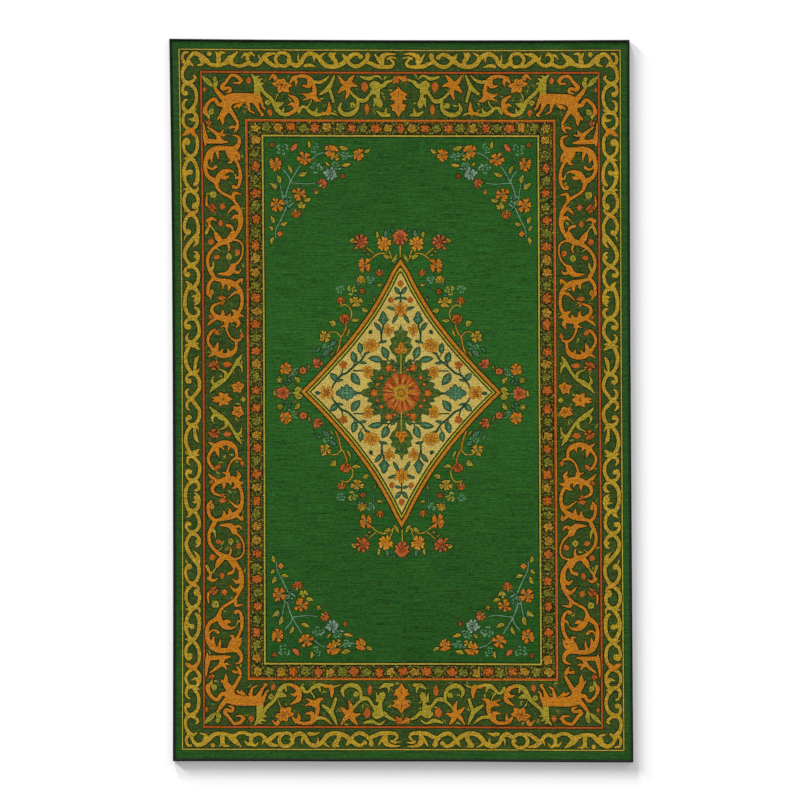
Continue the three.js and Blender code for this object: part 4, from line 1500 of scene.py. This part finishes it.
def gridPoints():
    # an even grid of places, well in from the sides
    spacing = cloth["gridSpacing"]
    x = np.arange(-rugOutline["width"] / 2, rugOutline["width"] / 2, spacing) + spacing / 2
    y = np.arange(-rugOutline["length"] / 2, rugOutline["length"] / 2, spacing) + spacing / 2
    grid = np.array([(across, up) for across in x for up in y])
    return grid[depthIn(grid) > cloth["gridFrom"]]


def topHeight(places):
    # the pile rises softly from where the yarn presses it
    depth = depthIn(places)
    share = np.clip((depth - cloth["pressedTo"]) / (cloth["fullFrom"] - cloth["pressedTo"]), 0, 1)
    share = share * share * (3 - 2 * share)
    return cloth["pressedTop"] + (cloth["thickness"] - cloth["pressedTop"]) * share


def backHeight(places):
    # the back lies on the floor but for its rim, which the yarn lifts
    depth = depthIn(places)
    share = np.clip((cloth["backFrom"] - depth) / (cloth["backFrom"] - cloth["pressedTo"]), 0, 1)
    return cloth["pressedBottom"] * share


def makeCloth(areas):
    # one thin closed sheet, the print's ink on each corner of its top's faces
    rim = edgeLoop(cloth["rimDepth"])
    depths = (cloth["pressedTo"], cloth["risingAt"], cloth["fullFrom"], *cloth["flatFrom"])
    rings = [rim] + [edgeLoop(depth) for depth in depths]
    grid = gridPoints()
    # every outline at first, then only what parts two inks
    places, faces, _ = triangulated(*joined([rim] + [outline for outline, _ in areas]), rim)
    lines, lineEdges = inkLines(places, faces, inkFaces(places[faces].mean(axis=1), areas))
    lines, lineEdges = straightened(lines, lineEdges)
    ringPlaces, ringEdges = joined(rings)
    edges = ringEdges + (lineEdges + len(ringPlaces)).tolist()
    top, topFaces, topWhere = triangulated(np.vstack([ringPlaces, lines, grid]), edges, rim)
    ringPlaces, ringEdges = joined([rim, edgeLoop(cloth["pressedTo"]), edgeLoop(cloth["backFrom"])])
    back, backFaces, backWhere = triangulated(np.vstack([ringPlaces, grid[::4]]), ringEdges, rim)
    points = np.vstack([np.column_stack([top, topHeight(top)]), np.column_stack([back, backHeight(back)])])
    # walls round the rim join the two
    walls = []
    for spot in range(len(rim)):
        after = (spot + 1) % len(rim)
        topSpot, topAfter = topWhere[spot], topWhere[after]
        backSpot, backAfter = backWhere[spot] + len(top), backWhere[after] + len(top)
        walls += [(backSpot, backAfter, topAfter), (backSpot, topAfter, topSpot)]
    faces = np.vstack([topFaces, backFaces[:, ::-1] + len(top), np.array(walls)])
    chosen = inkFaces(top[topFaces].mean(axis=1), areas)
    colours = [*inks.values(), cloth["backColour"]]
    palette = [[*linear(colour[:3]) * pileLook["depth"], colour[3]] for colour in colours]
    plain = np.full(len(backFaces) + len(walls), len(palette) - 1)
    corners = np.repeat(np.array(palette)[np.concatenate([chosen, plain])][:, None], 3, axis=1)
    field = np.flatnonzero(chosen == list(inks).index("field"))
    corners[field, :, :3] *= fieldFade(top[topFaces[field]][:, :, 1])[:, :, None]
    piece = meshPiece("rug_pile", points * mm, faces)
    paintCorners(piece.data, corners)
    unwrap(piece.data, len(topFaces))
    return piece


def meshPiece(name, points, faces, smooth=True):
    # an object of triangles, without the points that no face uses
    mesh = bpy.data.meshes.new(name)
    used = np.zeros(len(points), bool)
    used[faces.ravel()] = True
    place = np.cumsum(used) - 1
    mesh.from_pydata(points[used].tolist(), [], place[faces].tolist())
    if smooth:
        mesh.polygons.foreach_set("use_smooth", [True] * len(faces))
    piece = bpy.data.objects.new(name, mesh)
    bpy.context.scene.collection.objects.link(piece)
    return piece


def fieldFade(up):
    # the field's green is deeper towards the rug's ends
    places, shares = zip(*cloth["fieldFade"])
    return np.interp(up, places, shares) ** cloth["fadePower"]


def paintCorners(mesh, corners):
    layer = mesh.attributes.new("ink", "FLOAT_COLOR", "CORNER")
    layer.data.foreach_set("color", corners.ravel().astype(np.float32))


def unwrap(mesh, topCount):
    # the printed top fills the left of the sheet, and the plain back a small part of the right
    places = np.empty(len(mesh.vertices) * 3, np.float32)
    mesh.vertices.foreach_get("co", places)
    corners = np.empty(len(mesh.loops), np.int32)
    mesh.loops.foreach_get("vertex_index", corners)
    flat = places.reshape(-1, 3)[corners][:, :2]
    size = rugOutline["length"] * mm
    (topSize, topMiddle), (backSize, backMiddle) = cloth["topSheet"], cloth["backSheet"]
    share = flat / size * topSize + topMiddle
    share[topCount * 3:] = flat[topCount * 3:] / size * backSize + backMiddle
    layer = mesh.uv_layers.new(name="OFBake")
    layer.data.foreach_set("uv", share.ravel().astype(np.float32))


# The serging: black yarn wrapped over the rim, one loop beside another, in millimetres
yarn = {
    "pitch": 2.5,
    "width": 2.5,
    "thickness": 1.15,
    "slant": 1.6,               # how far along the edge a loop leans from its top to its foot
    "unevenSlant": 0.25,
    "reach": 7.4,               # how far in the stitches catch the pile, and how unevenly
    "uneven": 0.9,
    "top": 3.98,
    "offFloor": 0.03,
    "sizes": (0.93, 1.05),      # the loops' widths, as shares
    "endSize": 0.72,            # a loop is this share of its thickness where it goes into the pile
    "ends": 0.0003,             # how near to a side's ends a loop may come, as a share of the side
    "sides": 6,
}


def yarnRoute(reach):
    # one loop's middle line, from its stitch in the pile round the rim to the back: depth in and height
    high = yarn["top"] - yarn["thickness"] / 2
    low = yarn["thickness"] / 2 + yarn["offFloor"]
    return np.array([(reach, high - 0.42), (reach - 1.2, high - 0.06), (reach * 0.5, high), (2.3, high - 0.1),
                     (1.0, high - 0.62), (0.62, 2.0), (1.0, low + 0.5), (2.4, low + 0.06),
                     (reach * 0.5, low), (reach - 0.6, low)])


def makeSerging(side, seed):
    # one side's loops, each a closed tube of yarn
    rng = np.random.default_rng(seed)
    length = rugOutline["length"] if isUpright(side) else rugOutline["width"]
    count = round(length / yarn["pitch"])
    angles = np.arange(yarn["sides"]) * 2 * np.pi / yarn["sides"]
    inward = edgePlaces(side, 0.5, 10.0)[0] - edgePlaces(side, 0.5, 0.0)[0]
    inward = inward / np.linalg.norm(inward)
    beside = np.array([-inward[1], inward[0], 0.0])
    points, faces = [], []
    for number in range(count):
        route = yarnRoute(yarn["reach"] + rng.uniform(-1, 1) * yarn["uneven"])
        lean = np.linspace(0.5, -0.5, len(route)) * yarn["slant"]
        lean = lean + rng.uniform(-yarn["unevenSlant"], yarn["unevenSlant"])
        along = np.clip((number + 0.5) / count + lean / length, yarn["ends"], 1 - yarn["ends"])
        ahead = np.gradient(route, axis=0)
        ahead = ahead / np.linalg.norm(ahead, axis=1, keepdims=True)
        size = rng.uniform(*yarn["sizes"])
        for spot, (depth, height) in enumerate(route):
            # the yarn's thickness stands square to the loop, its width along the edge
            out = np.array([*(inward * -ahead[spot, 1]), ahead[spot, 0]])
            taper = yarn["endSize"] if spot in (0, len(route) - 1) else 1.0
            centre = np.array([*edgePlaces(side, along[spot], depth)[0], height])
            for angle in angles:
                points.append(centre + beside * math.cos(angle) * yarn["width"] / 2 * size * taper
                              + out * math.sin(angle) * yarn["thickness"] / 2 * taper)
        faces += tubeFaces(number * len(route) * yarn["sides"], len(route), yarn["sides"])
    return meshPiece("serging_" + side, np.array(points) * mm, np.array(faces))


def tubeFaces(first, rings, sides):
    # the skin of a tube and its two ends, counted from its first point
    faces = []
    for ring in range(rings - 1):
        for spot in range(sides):
            a = first + ring * sides + spot
            b = first + ring * sides + (spot + 1) % sides
            faces += [(a, b, b + sides), (a, b + sides, a + sides)]
    last = first + (rings - 1) * sides
    faces += [(first, first + spot + 1, first + spot) for spot in range(1, sides - 1)]
    faces += [(last, last + spot, last + spot + 1) for spot in range(1, sides - 1)]
    return faces


class Wire:
    # a shader socket that takes part in Python sums
    def __init__(self, tree, socket=None):
        self.tree = tree
        self.socket = socket

    def node(self, kind, settings=None, inputs=None, output=0):
        # a node of any type: its settings first, then the values or links of its sockets
        made = self.tree.nodes.new("ShaderNode" + kind)
        for name, value in (settings or {}).items():
            setattr(made, name, value)
        for name, value in (inputs or {}).items():
            if isinstance(value, Wire):
                self.tree.links.new(value.socket, made.inputs[name])
            else:
                made.inputs[name].default_value = value
        return Wire(self.tree, made.outputs[output])

    def sum(self, operation, first, second):
        return self.node("Math", {"operation": operation}, {0: first, 1: second})

    def __add__(self, other):
        return self.sum("ADD", self, other)

    def __radd__(self, other):
        return self.sum("ADD", other, self)

    def __sub__(self, other):
        return self.sum("SUBTRACT", self, other)

    def __rsub__(self, other):
        return self.sum("SUBTRACT", other, self)

    def __mul__(self, other):
        return self.sum("MULTIPLY", self, other)

    def __rmul__(self, other):
        return self.sum("MULTIPLY", other, self)

    def __abs__(self):
        return self.sum("ABSOLUTE", self, 0.0)

    def clipped(self):
        # held between 0 and 1
        return self.node("Math", {"operation": "ADD", "use_clamp": True}, {0: self, 1: 0.0})

    def stretched(self, scale):
        # a place in space, stretched by a number for each axis
        return self.node("VectorMath", {"operation": "MULTIPLY"}, {0: self, 1: scale})

    def noise(self, scale, detail=2.0, roughness=0.5):
        return self.node("TexNoise", {"noise_dimensions": "3D"},
                         {"Vector": self, "Scale": scale, "Detail": detail, "Roughness": roughness})

    def streaks(self, scale):
        # noise drawn out along an axis, the less the larger its number is
        return self.stretched(scale).noise(1.0, 2.0, 0.6)

    def mixed(self, colour, factor):
        # this colour mixed with a fixed one, sRGB, 0 to 255
        colour = (*linear(colour), 1.0)
        return self.node("Mix", {"data_type": "RGBA"}, {0: factor, 6: self, 7: colour}, output=2)


def startMaterial(name):
    # an empty material, and a wire to hang its nodes on
    material = bpy.data.materials.new(name)
    material.use_nodes = True
    tree = material.node_tree
    tree.nodes.clear()
    return material, Wire(tree)


def finishMaterial(start, sockets):
    shader = start.node("BsdfPrincipled", inputs=sockets)
    start.tree.links.new(shader.socket, start.tree.nodes.new("ShaderNodeOutputMaterial").inputs["Surface"])


# The printed pile's look. Scales are turns of the noise to a metre, across the rug and along it
pileLook = {
    "depth": 0.88,              # how much of an ink's light the pile gives back
    "roughness": 0.95,
    "sheen": 0.01,
    "sheenRoughness": 0.6,
    "shine": 0.04,
    "fineStreaks": (9.0, 290.0, 1.0),       # the woven streaks over the rug's width
    "longStreaks": (50.0, 320.0, 1.0),
    "streaksAcross": 1.8,       # how strong they are
    "crossStreaks": (310.0, 40.0, 1.0),     # and the streaks along the rug
    "streaksAlong": 0.85,
    "streakFade": 1.6,          # how soon the streaks fade in a bright ink
    "grainScale": 305.0,
    "grain": 1.2,               # how grainy the print is
    "busyGrain": 2.0,           # how much more where it is busy
    "brightGrain": 4.4,         # and in the bright inks
    "patchScale": 7.0,
    "patches": 0.3,
    "redScale": (130.0, 210.0, 1.0),        # red and blue wander by themselves
    "redShift": 0.085,
    "blueScale": (-110.0, 190.0, 1.0),
    "blueShift": 0.055,
    "brightShift": 0.36,
    "lineScale": 122.0,         # the crooked flecks of light and dark in the busy inks
    "lineWidth": 0.085,
    "lightLines": 0.95,
    "darkLines": 1.0,
    "darkPlace": (-1.0, 1.1, 1.0),          # moves the dark flecks off the light ones
    "lightLine": (170, 152, 60),
    "darkLine": (20, 26, 8),
    "ribsPerMetre": 470.0,
    "tuftScale": 900.0,
    "heights": {"tufts": 0.8, "ribs": 0.12, "grain": 0.3},
    "bump": 0.00022,            # metres
    "bumpStrength": 0.6,
}


def crookedLines(place):
    # thin lines that wander along the middle of a noise
    noise = place.noise(pileLook["lineScale"], 1.0, 0.5)
    return (1.0 - abs(noise - 0.5) * (1.0 / pileLook["lineWidth"])).clipped()


def pileMaterial():
    material, start = startMaterial("printed_pile")
    ink = start.node("Attribute", {"attribute_name": "ink"}, output=0)
    busy = start.node("Attribute", {"attribute_name": "ink"}, output=3)
    place = start.node("TexCoord", output=3)
    # the crooked flecks
    lightLines = crookedLines(place) * busy * pileLook["lightLines"]
    darkLines = crookedLines(place.stretched(pileLook["darkPlace"])) * busy * pileLook["darkLines"]
    flecked = ink.mixed(pileLook["darkLine"], darkLines.clipped())
    flecked = flecked.mixed(pileLook["lightLine"], lightLines.clipped())
    # streaks of the weave, grain and patches
    across = place.streaks(pileLook["fineStreaks"]) + place.streaks(pileLook["longStreaks"]) - 1.0
    along = place.streaks(pileLook["crossStreaks"]) - 0.5
    grain = place.noise(pileLook["grainScale"], 2.0, 0.7) - 0.5
    patches = place.noise(pileLook["patchScale"], 3.0, 0.55) - 0.5
    red, green, blue = [start.node("SeparateColor", inputs={"Color": flecked}, output=part)
                        for part in range(3)]
    streaks = across * pileLook["streaksAcross"] + along * pileLook["streaksAlong"]
    shade = 1.0 + streaks * (1.0 - red * pileLook["streakFade"]).clipped() + patches * pileLook["patches"]
    grains = pileLook["grain"] + busy * pileLook["busyGrain"] + red * pileLook["brightGrain"]
    shade = shade + grain * grains
    # red and blue wander a little by themselves
    redNoise = place.streaks(pileLook["redScale"]) - 0.5
    blueNoise = place.streaks(pileLook["blueScale"]) - 0.5
    blue = blue * shade + blueNoise * (pileLook["blueShift"] + red * pileLook["brightShift"])
    red = red * shade + redNoise * pileLook["redShift"]
    colour = start.node("CombineColor", inputs={"Red": red.clipped(), "Green": (green * shade).clipped(),
                                                "Blue": blue.clipped()})
    # tufts and ribs stand up a little
    ribs = start.node("SeparateXYZ", inputs={0: place}, output=1) * (2 * math.pi * pileLook["ribsPerMetre"])
    ribs = start.node("Math", {"operation": "SINE"}, {0: ribs})
    tufts = place.noise(pileLook["tuftScale"], 2.0, 0.6)
    heights = pileLook["heights"]
    height = tufts * heights["tufts"] + ribs * heights["ribs"] + grain * heights["grain"]
    normal = start.node("Bump", inputs={"Strength": pileLook["bumpStrength"], "Distance": pileLook["bump"],
                                        "Height": height})
    finishMaterial(start, {"Base Color": colour, "Roughness": pileLook["roughness"],
                           "Sheen Weight": pileLook["sheen"], "Sheen Roughness": pileLook["sheenRoughness"],
                           "Specular IOR Level": pileLook["shine"], "Normal": normal})
    return material


yarnLook = {
    "colour": (10, 10, 9),
    "light": (30, 29, 27),
    "lightShares": (0.6, 0.3, 0.15),    # how much the fibres and the patches lighten it, less a fixed share
    "fibreScale": 1500.0,
    "patchScale": 60.0,
    "roughness": 0.9,
    "sheen": 0.01,
    "shine": 0.08,
    "bump": 0.00015,            # metres
    "bumpStrength": 0.5,
}


def yarnMaterial():
    material, start = startMaterial("edge_yarn")
    place = start.node("TexCoord", output=3)
    fibres = place.noise(yarnLook["fibreScale"], 3.0, 0.65)
    patches = place.noise(yarnLook["patchScale"], 2.0, 0.5)
    fibreShare, patchShare, less = yarnLook["lightShares"]
    lighter = fibres * fibreShare + patches * patchShare - less
    dark, light = (*linear(yarnLook["colour"]), 1.0), (*linear(yarnLook["light"]), 1.0)
    colour = start.node("Mix", {"data_type": "RGBA"}, {0: lighter, 6: dark, 7: light}, output=2)
    normal = start.node("Bump", inputs={"Strength": yarnLook["bumpStrength"], "Distance": yarnLook["bump"],
                                        "Height": fibres})
    finishMaterial(start, {"Base Color": colour, "Roughness": yarnLook["roughness"],
                           "Sheen Weight": yarnLook["sheen"], "Specular IOR Level": yarnLook["shine"],
                           "Normal": normal})
    return material


# The room: a white floor, a soft even light overhead and a low soft light from the upper left
room = {
    "floorSize": 14.0,          # metres
    "floorDrop": 0.0002,        # keeps the floor clear of the rug's back
    "floorWhite": 0.86,
    "floorRoughness": 0.9,
    "dome": 0.455,
    "lowLights": [
        # name, strength, degrees over the floor, degrees round from the right, softness in degrees
        ("window_light", 17.9, 3.43, 138.4, 4.8),
        ("second_light", 13.2, 3.43, 108.1, 3.2),
        ("far_light", 4.9, 5.25, 45.0, 15.6),
    ],
    "cameraLens": 85.0,
    "cameraSensor": 36.0,
    "pictureWidth": 2.6612,     # what the picture spans on the rug, in metres
    "cameraPlace": (-0.0042, 0.0017),
}


def makeFloor():
    half = room["floorSize"] / 2
    points = np.array([(-half, -half, 0), (half, -half, 0), (half, half, 0), (-half, half, 0)])
    points = points - (0, 0, room["floorDrop"])
    floor = meshPiece("floor", points, np.array([(0, 1, 2), (0, 2, 3)]), smooth=False)
    material, start = startMaterial("white_floor")
    white = room["floorWhite"]
    finishMaterial(start, {"Base Color": (white, white, white, 1.0), "Roughness": room["floorRoughness"],
                           "Specular IOR Level": 0.0})
    floor.data.materials.append(material)


def makeLights(scene):
    world = bpy.data.worlds.new("studio")
    world.use_nodes = True
    dome = world.node_tree.nodes["Background"].inputs
    dome["Color"].default_value = (1.0, 1.0, 1.0, 1.0)
    dome["Strength"].default_value = room["dome"]
    scene.world = world
    for name, strength, height, around, softness in room["lowLights"]:
        light = bpy.data.lights.new(name, "SUN")
        light.energy = strength
        light.angle = math.radians(softness)
        lamp = bpy.data.objects.new(name, light)
        height, around = math.radians(height), math.radians(around)
        toLamp = (math.cos(height) * math.cos(around), math.cos(height) * math.sin(around), math.sin(height))
        lamp.rotation_mode = "QUATERNION"
        lamp.rotation_quaternion = Vector(toLamp).to_track_quat("Z", "Y")
        scene.collection.objects.link(lamp)


def makeCamera(scene):
    # straight over the rug, as high as the picture's width and the lens ask
    camera = bpy.data.cameras.new("camera")
    camera.lens = room["cameraLens"]
    camera.sensor_width = room["cameraSensor"]
    eye = bpy.data.objects.new("camera", camera)
    distance = room["pictureWidth"] * room["cameraLens"] / room["cameraSensor"]
    eye.location = (*room["cameraPlace"], cloth["thickness"] * mm + distance)
    scene.collection.objects.link(eye)
    scene.camera = eye
    scene.view_settings.view_transform = "Standard"
    scene.view_settings.look = "None"


def main():
    makeFloor()
    makeLights(bpy.context.scene)
    makeCamera(bpy.context.scene)
    print("room, lights and camera stand")
    rows = sorted(drawPrint(), key=lambda row: row[0])
    areas = [(withoutSpares(layOnRug(np.asarray(outline, float))), ink) for _, outline, ink in rows]
    print("print drawn:", len(areas), "areas,", sum(len(outline) for outline, _ in areas), "points")
    rug = makeCloth(areas)
    print("cloth made:", len(rug.data.polygons), "faces")
    rug.data.materials.append(pileMaterial())
    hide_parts("rug_cloth")
    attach(rug, "root")
    black = yarnMaterial()
    for seed, side in enumerate(sideEnds):
        strip = makeSerging(side, seed)
        strip.data.materials.append(black)
        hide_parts("serged_edge_" + side)
        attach(strip, "root")
        print("serging", side, "made:", len(strip.data.polygons), "faces")


main()
